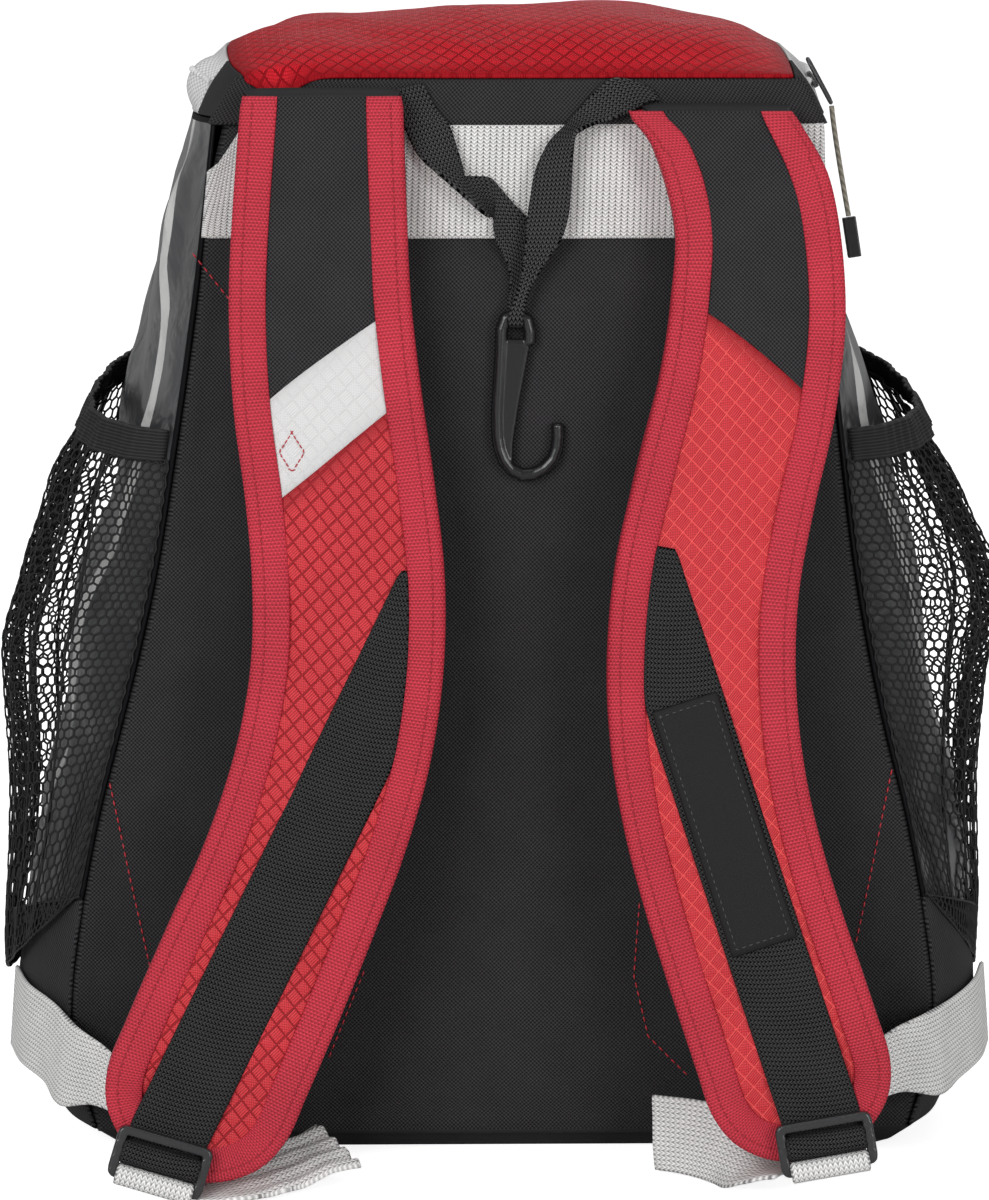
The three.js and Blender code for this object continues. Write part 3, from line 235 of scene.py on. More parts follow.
def ease(values, start, end):
    """0 up to start, 1 from end on, and a soft step between."""
    t = np.clip((values - start) / (end - start), 0, 1)
    return t * t * (3 - 2 * t)


def shell(name, near, far, material, flat=None, round_over=0.4):
    """A closed cloth form between two faces, with rounded rims. Its UV is its run in metres, or the flat one
    given, and each point keeps its distance to the nearest border."""
    rows, columns = near.shape[:2]
    size = rows * columns
    front = np.arange(size).reshape(rows, columns)
    loop = np.concatenate([front[0, :-1], front[:-1, -1], front[-1, :0:-1], front[:0:-1, 0]])
    r, c = loop // columns, loop % columns
    inner = near[np.clip(r, 1, rows - 2), np.clip(c, 1, columns - 2)]
    outward = near[r, c] - inner
    outward /= np.maximum(norm(outward, axis=1, keepdims=True), 1e-9)
    thick = norm(near[r, c] - far[r, c], axis=1, keepdims=True)
    rim_points = (near[r, c] + far[r, c]) / 2 + round_over * thick * outward
    rim = np.arange(len(loop)) + 2 * size
    ahead = np.roll(np.arange(len(loop)), -1)
    sheet = np.stack([front[:-1, :-1], front[:-1, 1:], front[1:, 1:], front[1:, :-1]], axis=-1).reshape(-1, 4)
    quads = np.concatenate([
        sheet,
        sheet[:, [0, 3, 2, 1]] + size,
        np.stack([loop[ahead], loop, rim, rim[ahead]], axis=-1),
        np.stack([rim[ahead], rim, loop + size, loop[ahead] + size], axis=-1),
    ])
    points = np.concatenate([near.reshape(-1, 3), far.reshape(-1, 3), rim_points])
    a, b, c4, d = (points[quads[:, k]] for k in range(4))
    if (np.cross(b - a, c4 - a) * a + np.cross(c4 - a, d - a) * a).sum() < 0:
        quads = quads[:, ::-1]
    mesh = bpy.data.meshes.new(name)
    mesh.from_pydata(points.tolist(), [], quads.tolist())
    down, over, border = runs(near)
    middle = columns // 2
    if flat is None:
        flat = np.stack([over - over[:, middle:middle + 1], 0 * over + down[:, middle:middle + 1]], axis=2)
    flat, edge = (np.concatenate([kept, kept, kept[loop]]) for kept in (flat.reshape(-1, 2), border.ravel()))
    corners = [corner.vertex_index for corner in mesh.loops]
    mesh.uv_layers.new(name="run").data.foreach_set("uv", flat[corners].ravel())
    mesh.attributes.new("border", "FLOAT", "POINT").data.foreach_set("value", edge)
    mesh.polygons.foreach_set("use_smooth", [True] * len(mesh.polygons))
    mesh.materials.append(material)
    return stand(name, mesh)


def fit(piece, slot, *nodes, body="bag"):
    """Says which CAD nodes a piece stands for, by hiding them, and what it moves with. What it is made of, the
    slot, is not used.
    """
    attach(piece, body)
    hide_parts(*nodes)


def cut(piece, near, held, *rests_on):
    """Works out the runs and the area of a cloth piece's own face, and keeps neither."""
    down, over, _ = runs(near)
    a, b, c, d = near[:-1, :-1], near[:-1, 1:], near[1:, 1:], near[1:, :-1]
    halves = (norm(np.cross(p - a, q - a), axis=2) for p, q in ((b, c), (c, d)))
    area = 0.5 * sum(halves).sum()


def cloth(name, near, far, material, slot, stands_for, held, *rests_on, push=None, flat=None):
    """Makes a cloth piece in place of a CAD node, with its faces pushed out by the distances given."""
    move = 0 if push is None else facing(near, far) * push[..., None]
    piece = shell(name, near + move, far + move, material, flat)
    fit(piece, slot, stands_for)
    cut(piece, near, held, *rests_on)


def pattern(name, inputs, outputs, kind="ShaderNodeTree"):
    """An empty node group with these sockets. Returns it with its inner sockets."""
    tree = bpy.data.node_groups.new(name, kind)
    for way, sockets in (("INPUT", inputs), ("OUTPUT", outputs)):
        for key, sort in sockets.items():
            tree.interface.new_socket(key, in_out=way, socket_type="NodeSocket" + sort)
    return tree, tree.nodes.new("NodeGroupInput").outputs, tree.nodes.new("NodeGroupOutput").inputs


def laid(tree, group, **inputs):
    """A pattern laid along a cloth's own run. Returns its outputs."""
    place = node(tree, "ShaderNodeUVMap", uv_map="run")["UV"]
    return node(tree, "ShaderNodeGroup", {"Vector": place, **inputs}, node_tree=group)


def speckle(tree, place, scale, detail, distortion=0.0):
    """Soft patches between 0 and 1, about so many to the metre."""
    inputs = {"Vector": place, "Scale": scale, "Detail": detail, "Distortion": distortion}
    return node(tree, "ShaderNodeTexNoise", inputs)["Fac"]


def blend(tree, factor, low, high):
    """A colour between two, each plain or changing, by a factor that changes over the surface."""
    low, high = ((*end, 1) if isinstance(end, tuple) else end for end in (low, high))
    return node(tree, "ShaderNodeMix", {0: factor, 6: low, 7: high}, data_type="RGBA")[2]


def tint(shader, factor, low, high):
    """Colours a surface between two colours, by a factor that changes over it."""
    colour = blend(shader.id_data, factor, low, high)
    shader.id_data.links.new(colour, shader.inputs["Base Color"])


def raise_threads(shader, height, strength, deep):
    """Lets a height that changes over the surface turn its normals."""
    bump = node(shader.id_data, "ShaderNodeBump", {"Height": height, "Strength": strength, "Distance": deep})
    shader.id_data.links.new(bump["Normal"], shader.inputs["Normal"])


# Plain weave: warp and weft cross at one pitch, and the cloth is a little worn in patches
weave, weave_in, weave_out = pattern(
    "plain_weave", {"Vector": "Vector", "Pitch": "Float"}, {"Height": "Float", "Wear": "Float"})
run = node(weave, "ShaderNodeSeparateXYZ", {"Vector": weave_in["Vector"]})
sums = partial(calc, weave)
turn = sums("DIVIDE", math.pi, weave_in["Pitch"])
warp, weft = (sums("SINE", sums("MULTIPLY", run[axis], turn)) for axis in "XY")
weave.links.new(sums("MULTIPLY_ADD", sums("MULTIPLY", warp, weft), 0.5, 0.5), weave_out["Height"])
weave.links.new(speckle(weave, weave_in["Vector"], 55.0, 5.0), weave_out["Wear"])

BLACK_PITCH = 0.7 * MM
black_cloth, tree, shader = finish("black_cloth", (0.012, 0.012, 0.013), 0.8, specular_ior_level=0.2)
threads = laid(tree, weave, Pitch=BLACK_PITCH)
# Painted shade in the weave's hollows and a painted highlight on its crests, with worn patches
tone = calc(tree, "MULTIPLY_ADD", threads["Wear"], 0.25, -0.2)
tone = calc(tree, "MULTIPLY_ADD", threads["Height"], 1.1, tone)
tint(shader, tone, (0.0006, 0.0006, 0.0008), (0.046, 0.044, 0.047))
raise_threads(shader, threads["Height"], 0.9, 0.3 * MM)

SIDES = (("left", -1), ("right", 1))
GUSSET_STEP = 4 * MM
for side, way in SIDES:
    near, far = cloth_faces(f"side_gusset_{side}", (way, -1, -1), (0, 0, 1), GUSSET_STEP)
    slack = 1.1 * MM * ripple(near, 45 * MM, 3 + way) * ease(runs(near)[2], 0, 20 * MM)
    cloth(f"gusset_{side}", near, far, black_cloth, "black_cloth", f"side_gusset_{side}", "stretched",
          "bottom_panel", push=slack)


# Base
# A stiff black tray under the bag, moulded board inside the same cloth. It is the face that stands on the
# floor.


def merged(name):
    """A copy of a CAD node's mesh with its points joined."""
    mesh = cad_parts[name].data.copy()
    form = bmesh.new()
    form.from_mesh(mesh)
    bmesh.ops.remove_doubles(form, verts=form.verts, dist=1e-6)
    bmesh.ops.dissolve_limit(form, angle_limit=math.radians(1), verts=form.verts, edges=form.edges)
    form.to_mesh(mesh)
    form.free()
    mesh.materials.clear()
    return mesh


def settled(piece):
    """Turns a piece's modifiers into its mesh, with soft shading."""
    made = bpy.data.meshes.new_from_object(piece.evaluated_get(bpy.context.evaluated_depsgraph_get()))
    piece.modifiers.clear()
    piece.data = made
    made.polygons.foreach_set("use_smooth", [True] * len(made.polygons))
    return piece


base_cloth, tree, shader = finish("base_cloth", (0.012, 0.012, 0.013), 0.8, specular_ior_level=0.3)
place = node(tree, "ShaderNodeTexCoord")["Object"]
threads = node(tree, "ShaderNodeGroup", {"Vector": place, "Pitch": BLACK_PITCH}, node_tree=weave)
tint(shader, threads["Wear"], (0.005, 0.005, 0.005), (0.017, 0.017, 0.018))
raise_threads(shader, threads["Height"], 0.5, 0.2 * MM)
tray = stand("tray", merged("bottom_panel"))
tray.data.materials.append(base_cloth)
edge = tray.modifiers.new("edge", "BEVEL")
edge.width = 0.8 * MM
edge.segments = 2
edge.limit_method = "ANGLE"
edge.angle_limit = math.radians(40)
fit(settled(tray), "black_cloth", "bottom_panel")


# Coated sides
# Each side above the black is a dark-grey coated cloth with a soft gloss and long soft creases, crossed by one
# pale curved stripe of the bag's own trim.

STRIPE_HALF = 4.6 * MM
COATED_SHADE_BORDER = 1.6 * MM
coated, tree, shader = finish("coated_cloth", (0.05, 0.052, 0.056), 0.34, coat_weight=0.12, coat_roughness=0.2)
place = node(tree, "ShaderNodeUVMap", uv_map="run")["UV"]
creases, grain = speckle(tree, place, 26.0, 3.0, 0.8), speckle(tree, place, 420.0, 2.0)
raise_threads(shader, calc(tree, "MULTIPLY_ADD", grain, 0.012, creases), 0.9, 9 * MM)
# A pale stripe winds down the side, and shade is painted near black along its seams, which are left matt
across, up, _ = node(tree, "ShaderNodeSeparateXYZ", {"Vector": place})
bow = calc(tree, "MULTIPLY_ADD", calc(tree, "SINE", calc(tree, "MULTIPLY", up, 26.0)), 9 * MM, -32 * MM)
stripe = calc(tree, "LESS_THAN", calc(tree, "ABSOLUTE", calc(tree, "SUBTRACT", across, bow)), STRIPE_HALF)
film_colour = blend(tree, stripe, (0.046, 0.047, 0.050), (0.55, 0.55, 0.54))
border = node(tree, "ShaderNodeAttribute", attribute_name="border")["Fac"]
# Painted shade: close to its borders the cloth is coloured near black and made matt
clear_of_seam_shade = calc(tree, "GREATER_THAN", border, COATED_SHADE_BORDER)
tint(shader, clear_of_seam_shade, (0.006, 0.006, 0.007), film_colour)
tree.links.new(calc(tree, "MULTIPLY_ADD", clear_of_seam_shade, -0.5, 0.8), shader.inputs["Roughness"])
tree.links.new(calc(tree, "MULTIPLY", clear_of_seam_shade, 0.5), shader.inputs["Specular IOR Level"])

SIDE_STEP = 4 * MM
coated_faces = {}
for side, way in SIDES:
    near, far = cloth_faces(f"side_panel_{side}", (way, -1, -1), (0, 0, 1), SIDE_STEP)
    slack = (2.4 * ripple(near, 50 * MM, 7 + way) + 1.3 * ripple(near, 22 * MM, 17 + way)) * MM
    slack *= ease(runs(near)[2], 0, 25 * MM)
    cloth(f"coated_side_{side}", near, far, coated, "coated_grey", f"side_panel_{side}", "stretched",
          f"side_gusset_{side}", push=slack)
    coated_faces[side] = near, far


# Front
# The far side of the bag is red ripstop in three panels, seamed at the two front corners. It bellies a little
# between its seams.

# Ripstop: diamonds by turns of pebbled and ribbed cloth, pillowed between raised threads
ripstop, stop_in, stop_out = pattern(
    "ripstop", {"Vector": "Vector", "Wide": "Float", "Tall": "Float", "Slant": "Float"},
    {"Height": "Float", "Line": "Float", "Grain": "Float", "Wear": "Float"})
across, up, _ = node(ripstop, "ShaderNodeSeparateXYZ", {"Vector": stop_in["Vector"]})
sums = partial(calc, ripstop)
x = sums("DIVIDE", across, stop_in["Wide"])
z = sums("DIVIDE", sums("MULTIPLY_ADD", across, stop_in["Slant"], up), stop_in["Tall"])
rise, fall = sums("ADD", x, z), sums("SUBTRACT", x, z)
nearest = sums("MINIMUM", sums("PINGPONG", rise, 0.5), sums("PINGPONG", fall, 0.5))
line = node(ripstop, "ShaderNodeMapRange", {"Value": nearest, "From Min": 0.085, "From Max": 0.035})["Result"]
ribbed = sums("PINGPONG", sums("ADD", sums("FLOOR", rise), sums("FLOOR", fall)), 1.0)
pebbles = sums("MULTIPLY", *(sums("COSINE", sums("MULTIPLY", way, 8 * math.pi)) for way in (rise, fall)))
ribs = sums("COSINE", sums("MULTIPLY", fall, 12 * math.pi))
grain = node(ripstop, "ShaderNodeMix", {0: ribbed, 2: pebbles, 3: ribs})[0]
grain = sums("MULTIPLY_ADD", grain, 0.5, 0.5)
pillow = sums("POWER", sums("MULTIPLY", nearest, 2.0), 0.6)
height = sums("MULTIPLY_ADD", line, 0.8, sums("MULTIPLY_ADD", grain, 0.3, pillow))
wear = speckle(ripstop, stop_in["Vector"], 30.0, 4.0)
for key, value in (("Height", height), ("Line", line), ("Grain", grain), ("Wear", wear)):
    ripstop.links.new(value, stop_out[key])

DIAMOND_WIDE = 5.9 * MM
DIAMOND_TALL = 6.7 * MM
SEAM_SHADE = 7 * MM


def ripstop_cloth(name, deep, mid, line, slant, relief=0.45 * MM, roughness=0.5, gloss=0.25):
    """Ripstop in three tones: its hollows and seams in painted shade, its crests, and the threads between the
    diamonds.
    """
    made, tree, shader = finish(name, mid, roughness, specular_ior_level=gloss)
    threads = laid(tree, ripstop, Wide=DIAMOND_WIDE, Tall=DIAMOND_TALL, Slant=slant)
    # Painted shade: the deep tone darkens the hollows of the pebbled and ribbed cells, with worn patches
    tone = calc(tree, "MULTIPLY_ADD", threads["Grain"], 0.9, -0.15)
    tone = calc(tree, "MULTIPLY_ADD", threads["Wear"], 0.4, tone)
    # The raised threads take the line tone: painted shade where it is darker than the crests, painted highlight
    # where lighter
    lined = blend(tree, calc(tree, "MULTIPLY", threads["Line"], 0.85), blend(tree, tone, deep, mid), line)
    # Painted shade: the deep tone darkens the cloth along its seams
    border = node(tree, "ShaderNodeAttribute", attribute_name="border")["Fac"]
    inwards = node(tree, "ShaderNodeMapRange", {"Value": border, "From Max": SEAM_SHADE})["Result"]
    tint(shader, inwards, deep, lined)
    raise_threads(shader, threads["Height"], 0.8, relief)
    return made


red_body = ripstop_cloth("red_ripstop", (0.26, 0.008, 0.013), (0.58, 0.030, 0.040), (0.24, 0.006, 0.011), 0.0)
FRONT_STEP = 5 * MM
for part, corner in (("right", (1, 0.3, -1)), ("middle", (1, 1, -1)), ("left", (1, 1, -1))):
    near, far = cloth_faces(f"front_panel_{part}", corner, (0, 0, 1), FRONT_STEP)
    slack = (1.6 * ripple(near, 70 * MM, 31) + 0.8 * ripple(near, 28 * MM, 37) + 0.6) * MM
    slack *= ease(runs(near)[2], 0, 30 * MM)
    cloth(f"front_{part}", near, far, red_body, "red_ripstop", f"front_panel_{part}", "stretched",
          "bottom_panel", push=slack)


# Back panel
# The panel against the wearer's back is black cloth over a sheet of foam, held along its seams, so it swells
# between them. Short runs of red stitching show where the strap pads' bases are sewn to it.


def puff(piece, held, limit):
    """Swells a closed cloth form from within, as foam does, with some of its points held and a longest move."""
    count = len(piece.data.vertices)
    before = np.empty(3 * count)
    piece.data.vertices.foreach_get("co", before)
    piece.vertex_groups.new(name="held").add([int(i) for i in held], 1, "REPLACE")
    foam = piece.modifiers.new("foam", "CLOTH")
    foam.settings.vertex_group_mass = "held"
    foam.settings.use_pressure = True
    foam.settings.uniform_pressure_force = 4
    foam.settings.effector_weights.gravity = 0
    foam.settings.shrink_min = -0.02
    foam.collision_settings.use_collision = False
    foam.point_cache.frame_start = 1
    foam.point_cache.frame_end = 20
    for moment in range(1, 21):
        scene.frame_set(moment)
    swollen = piece.evaluated_get(bpy.context.evaluated_depsgraph_get()).data
    after = np.empty(3 * count)
    swollen.vertices.foreach_get("co", after)
    piece.modifiers.remove(foam)
    piece.vertex_groups.clear()
    scene.frame_set(1)
    move = (after - before).reshape(-1, 3)
    length = norm(move, axis=1, keepdims=True)
    move *= np.minimum(1, limit * np.tanh(length / limit) / np.maximum(length, 1e-9))
    piece.data.vertices.foreach_set("co", (before.reshape(-1, 3) + move).ravel())
    piece.data.update()


def dress(tree, geometry, given, made):
    """Ends a group: what it makes is shaded softly, made real and takes the material given."""
    soft = node(tree, "GeometryNodeSetShadeSmooth", {"Geometry": geometry})["Geometry"]
    real = node(tree, "GeometryNodeRealizeInstances", {"Geometry": soft})["Geometry"]
    dyed = node(tree, "GeometryNodeSetMaterial", {"Geometry": real, "Material": given["Material"]})["Geometry"]
    tree.links.new(dyed, made["Geometry"])


def grown(piece, group, **values):
    """Lets a Geometry Nodes group, with these inputs, make a piece out of its mesh."""
    maker = piece.modifiers.new("maker", "NODES")
    maker.node_group = group
    for socket in group.interface.items_tree:
        if socket.name in values:
            maker[socket.identifier] = values[socket.name]
    return settled(piece)


# Stitches: short capsules of thread along a line, each with its ends pressed into the cloth
STITCH_SIZES = ("Pitch", "Length", "Wide", "Tall")
stitch_row, given, made = pattern(
    "stitch_row", {"Geometry": "Geometry", "Material": "Material", **dict.fromkeys(STITCH_SIZES, "Float")},
    {"Geometry": "Geometry"}, "GeometryNodeTree")
lines = node(stitch_row, "GeometryNodeMeshToCurve", {"Mesh": given["Geometry"]})["Curve"]
inputs = {"Curve": lines, "Length": given["Pitch"]}
spots = node(stitch_row, "GeometryNodeResampleCurve", inputs, mode="LENGTH")["Curve"]
ball = node(stitch_row, "GeometryNodeMeshUVSphere", {"Segments": 6, "Rings": 4, "Radius": 0.5})["Mesh"]
inputs = {"X": given["Length"], "Y": given["Wide"], "Z": given["Tall"]}
size = node(stitch_row, "ShaderNodeCombineXYZ", inputs)["Vector"]
thread = node(stitch_row, "GeometryNodeTransform", {"Geometry": ball, "Scale": size})["Geometry"]
way = node(stitch_row, "GeometryNodeInputTangent")["Tangent"]
aim = node(stitch_row, "FunctionNodeAlignRotationToVector", {"Vector": way}, axis="X")["Rotation"]
inputs = {"Points": spots, "Instance": thread, "Rotation": aim}
dress(stitch_row, node(stitch_row, "GeometryNodeInstanceOnPoints", inputs)["Instances"], given, made)


def sew(name, lines, thread, slot, *sizes):
    """Sews stitches along lines of points. Their sizes are in mm, in the order of STITCH_SIZES."""
    points = np.concatenate(lines)
    starts = np.cumsum([0, *map(len, lines)])
    edges = [(i, i + 1) for a, b in zip(starts, starts[1:]) for i in range(a, b - 1)]
    mesh = bpy.data.meshes.new(name + "_lines")
    mesh.from_pydata(points.tolist(), edges, [])
    values = {key: size * MM for key, size in zip(STITCH_SIZES, sizes)}
    seam = grown(stand(name, mesh), stitch_row, Material=thread, **values)
    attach(seam, "bag")


# Fine grain: the small unevenness of spun thread, moulded plastic and plated metal
fine_grain, grain_in, grain_out = pattern(
    "fine_grain", {"Vector": "Vector", "Scale": "Float"}, {"Grain": "Float"})
fine_grain.links.new(speckle(fine_grain, grain_in["Vector"], grain_in["Scale"], 3.0), grain_out["Grain"])


def grained(name, low, high, roughness, scale, relief, **shine):
    """A spun, moulded or plated finish, with one fine grain in its tone and in its surface."""
    made, tree, shader = finish(name, high, roughness, **shine)
    place = node(tree, "ShaderNodeTexCoord")["Object"]
    grain = node(tree, "ShaderNodeGroup", {"Vector": place, "Scale": scale}, node_tree=fine_grain)["Grain"]
    tint(shader, grain, low, high)
    raise_threads(shader, grain, 0.5, relief)
    return made


red_thread = grained("red_thread", (0.32, 0.012, 0.022), (0.52, 0.024, 0.038), 0.6, 1500.0, 0.1 * MM)
BACK_STEP = 5 * MM
near, far = cloth_faces("back_panel", (-1, -1, -1), (0, 0, 1), BACK_STEP)
_, _, border = runs(near)
out = facing(near, far)
under_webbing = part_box("top_webbing")[0][2]
free = ease(border, 0, 15 * MM) * ease(-near[..., 2], -under_webbing, 25 * MM - under_webbing)
uneven = (0.9 * ripple(near, 50 * MM, 5) + 0.4 * ripple(near, 16 * MM, 9)) * MM * free
near = near + out * uneven[..., None]
back = shell("back", near, far, black_cloth)
still = np.flatnonzero((border.ravel() < 8 * MM) | (near[..., 2].ravel() > under_webbing - 4 * MM))
rows, columns = near.shape[:2]
size = rows * columns
puff(back, [*still, *range(size, len(back.data.vertices))], 3 * MM)
fit(back, "black_cloth", "back_panel")

# Runs of stitching: x and z of their corners
BASE_SEAMS = [
    [(-104.6, 312), (-89.5, 293)],
    [(-135, 130), (-122, 68)],
    [(-48.5, 65), (-60, 36)],
    [(133.6, 134), (122, 76)],
    [(46.7, 88.6), (45, 64), (50, 42.6), (63, 29)],
]
cloth_points = np.array([v.co for v in back.data.vertices])[:size]


def on_back(x, z):
    """The point of the back panel's face behind a place seen from the harness side."""
    flat = np.hypot(cloth_points[:, 0] - x, cloth_points[:, 2] - z)
    near_four = np.argsort(flat)[:4]
    share = 1 / (flat[near_four] + 1e-5)
    return np.array([x, (cloth_points[near_four, 1] * share).sum() / share.sum() - 0.2 * MM, z])


sewn = []
for seam in BASE_SEAMS:
    corners = np.array(seam) * MM
    legs = [np.linspace(a, b, 12) for a, b in zip(corners, corners[1:])]
    sewn.append(np.array([on_back(x, z) for x, z in np.concatenate(legs)]))
sew("base_seams", sewn, red_thread, "red_binding", 3.0, 2.4, 0.9, 0.6)


# Lid
# The top flap is one domed panel of red ripstop over the opening. Its cloth is slack, so it lies in shallow
# hollows with a soft crest at the left.

LID_STEP = 3 * MM
red_lid = ripstop_cloth(
    "red_lid", (0.30, 0.005, 0.010), (0.70, 0.020, 0.033), (0.24, 0.004, 0.008), 0.05, relief=0.9 * MM,
    gloss=0.07)
near, far = cloth_faces("lid", (-1, -1, 1), (0, 1, 0), LID_STEP)
# Its front corner at the left folds down over the band: where, how wide, how far down and how far forward
FOLD_AT = -76 * MM
FOLD_WIDE = 8.5 * MM
FOLD_DOWN = 6.5 * MM
FOLD_OUT = 5.2 * MM
down, _, border = runs(near)
folded = np.exp(-((near[..., 0] - FOLD_AT) / FOLD_WIDE) ** 2)
for face in (near, far):
    face[..., 1] -= FOLD_OUT * folded * (1 - ease(down, 4 * MM, 26 * MM))
    face[..., 2] -= FOLD_DOWN * folded * (1 - ease(down, 0, 6 * MM))
slack = (1.3 * ripple(near, 48 * MM, 11) + 0.6 * ripple(near, 20 * MM, 13)) * MM * ease(border, 0, 18 * MM)
# It sinks left of its middle: where, how wide and how deep
SINK_AT = -40 * MM
SINK_WIDE = 30 * MM
SINK = 3.8 * MM
slack = slack - SINK * np.exp(-((near[..., 0] - SINK_AT) / SINK_WIDE) ** 2) * ease(border, 0, 30 * MM)
cloth("lid_flap", near, far, red_lid, "red_ripstop", "lid", "stretched", "zipper_tape", "top_band", push=slack)


# Zip
# A coil zip runs round the lid from corner to corner. Its grey tape is sewn to the wall below and the lid
# above, the coil stands along its middle, and a black tab covers each end.

zip_tape, tree, shader = finish("zip_tape", (0.45, 0.45, 0.45), 0.75)
threads = laid(tree, weave, Pitch=0.9 * MM)
# Painted shade in the weave's hollows
tint(shader, threads["Height"], (0.36, 0.36, 0.36), (0.72, 0.72, 0.72))
raise_threads(shader, threads["Height"], 0.6, 0.25 * MM)
near, far = cloth_faces("zipper_tape", (1, -1, -1), (0, 1, 0), 3 * MM, 2.5 * MM)
# The tape stands out where it turns in under the left tab: how much, how far from its end and over what run
SWELL = 6 * MM
SWELL_AT = 10 * MM
SWELL_RUN = 7 * MM
down, over, _ = runs(near)
share = over / over[:, -1:]
swell = SWELL * np.exp(-((down[-1:] - down - SWELL_AT) / SWELL_RUN) ** 2) * 4 * share * (1 - share)
moved = facing(near, far) * swell[..., None]
near, far = near + moved, far + moved
cloth("zip_band", near, far, zip_tape, "zip_grey", "zipper_tape", "stretched", "lid")

coil_nylon = grained("coil_nylon", (0.52, 0.52, 0.52), (0.72, 0.72, 0.72), 0.45, 900.0, 0.1 * MM)
middle = near[:, near.shape[1] // 2] + 0.1 * MM * facing(near, far)[:, near.shape[1] // 2]
sew("zip_coil", [middle], coil_nylon, "zip_grey", 1.5, 1.1, 2.6, 2.2)

for side, way in SIDES:
    near, far = cloth_faces(f"zip_tab_{side}", (way, -1, -1), (0, 1, 0), 2 * MM)
    cloth(f"zip_end_{side}", near, far, black_cloth, "black_cloth", f"zip_tab_{side}", "folded", "zipper_tape")


# Side pockets
# Each side carries a pocket of knitted net with hexagonal holes. It bellies out, draws in under a band of
# ribbed black elastic at its rim, and is open at the top.

CELL = 4.14 * MM
STRAND = 0.42 * MM
ELASTIC_RIB = 1.2 * MM
net_nylon = grained(
    "net_nylon", (0.005, 0.005, 0.006), (0.015, 0.015, 0.016), 0.6, 1500.0, 0.1 * MM, specular_ior_level=0.3)
elastic, tree, shader = finish("elastic_rib", (0.014, 0.014, 0.015), 0.7, specular_ior_level=0.3)
place = node(tree, "ShaderNodeUVMap", uv_map="run")["UV"]
_, up, _ = node(tree, "ShaderNodeSeparateXYZ", {"Vector": place})
ribs = calc(tree, "SINE", calc(tree, "MULTIPLY", up, 2 * math.pi / ELASTIC_RIB))
ribs = calc(tree, "MULTIPLY_ADD", ribs, 0.5, 0.5)
# Painted shade in the ribs' hollows
tint(shader, ribs, (0.004, 0.004, 0.004), (0.024, 0.024, 0.025))
raise_threads(shader, ribs, 0.8, 0.35 * MM)

# Net: the edges of a mesh's dual, each a strand of thread
net_knit, given, made = pattern(
    "net_knit", {"Geometry": "Geometry", "Radius": "Float", "Material": "Material"}, {"Geometry": "Geometry"},
    "GeometryNodeTree")
inputs = {"Mesh": given["Geometry"], "Keep Boundaries": True}
cells = node(net_knit, "GeometryNodeDualMesh", inputs)["Dual Mesh"]
strands = node(net_knit, "GeometryNodeMeshToCurve", {"Mesh": cells})["Curve"]
inputs = {"Resolution": 4, "Radius": given["Radius"]}
circle = node(net_knit, "GeometryNodeCurvePrimitiveCircle", inputs)["Curve"]
inputs = {"Curve": strands, "Profile Curve": circle, "Fill Caps": True}
dress(net_knit, node(net_knit, "GeometryNodeCurveToMesh", inputs)["Mesh"], given, made)


def plate(spots, values, firm):
    """A smooth surface over scattered places, as a bent thin plate lies over them."""
    def bend(a, b):
        gap = ((a[:, None] - b[None]) ** 2).sum(axis=2)
        return gap * np.log(gap + 1e-12)
    count = len(spots)
    side = np.hstack([np.ones((count, 1)), spots])
    whole = np.block([[bend(spots, spots) + firm * np.eye(count), side], [side.T, np.zeros((3, 3))]])
    weights = np.linalg.solve(whole, np.concatenate([values, np.zeros(3)]))
    return lambda at: np.hstack([bend(at, spots), np.ones((len(at), 1)), at]) @ weights


# Sag of the net over its lower seam and the share of its height where it is deepest, depth and number of its
# loose pleats, and how much fuller than its panel it is cut across and up
SAG = 33 * MM
SAG_AT = 0.09
PLEAT = 3.4 * MM
PLEATS = 9
FULL_ACROSS = 1.45
FULL_UP = 1.1


def drawn_in(side, w):
    """How far the pleats of a pocket lie inwards up its height, in depths of a pleat."""
    if side == "left":
        spread = ease(w, 0, 0.08) * (1 - ease(w, 0.1, 0.25))
        return 1.1 * ease(w, 0.55, 0.7) * (1 - ease(w, 0.8, 0.95)) - 0.6 * spread
    return 1.2 * (1 - ease(w, 0.5, 0.65)) + 0.8 * ease(w, 0.72, 0.82)


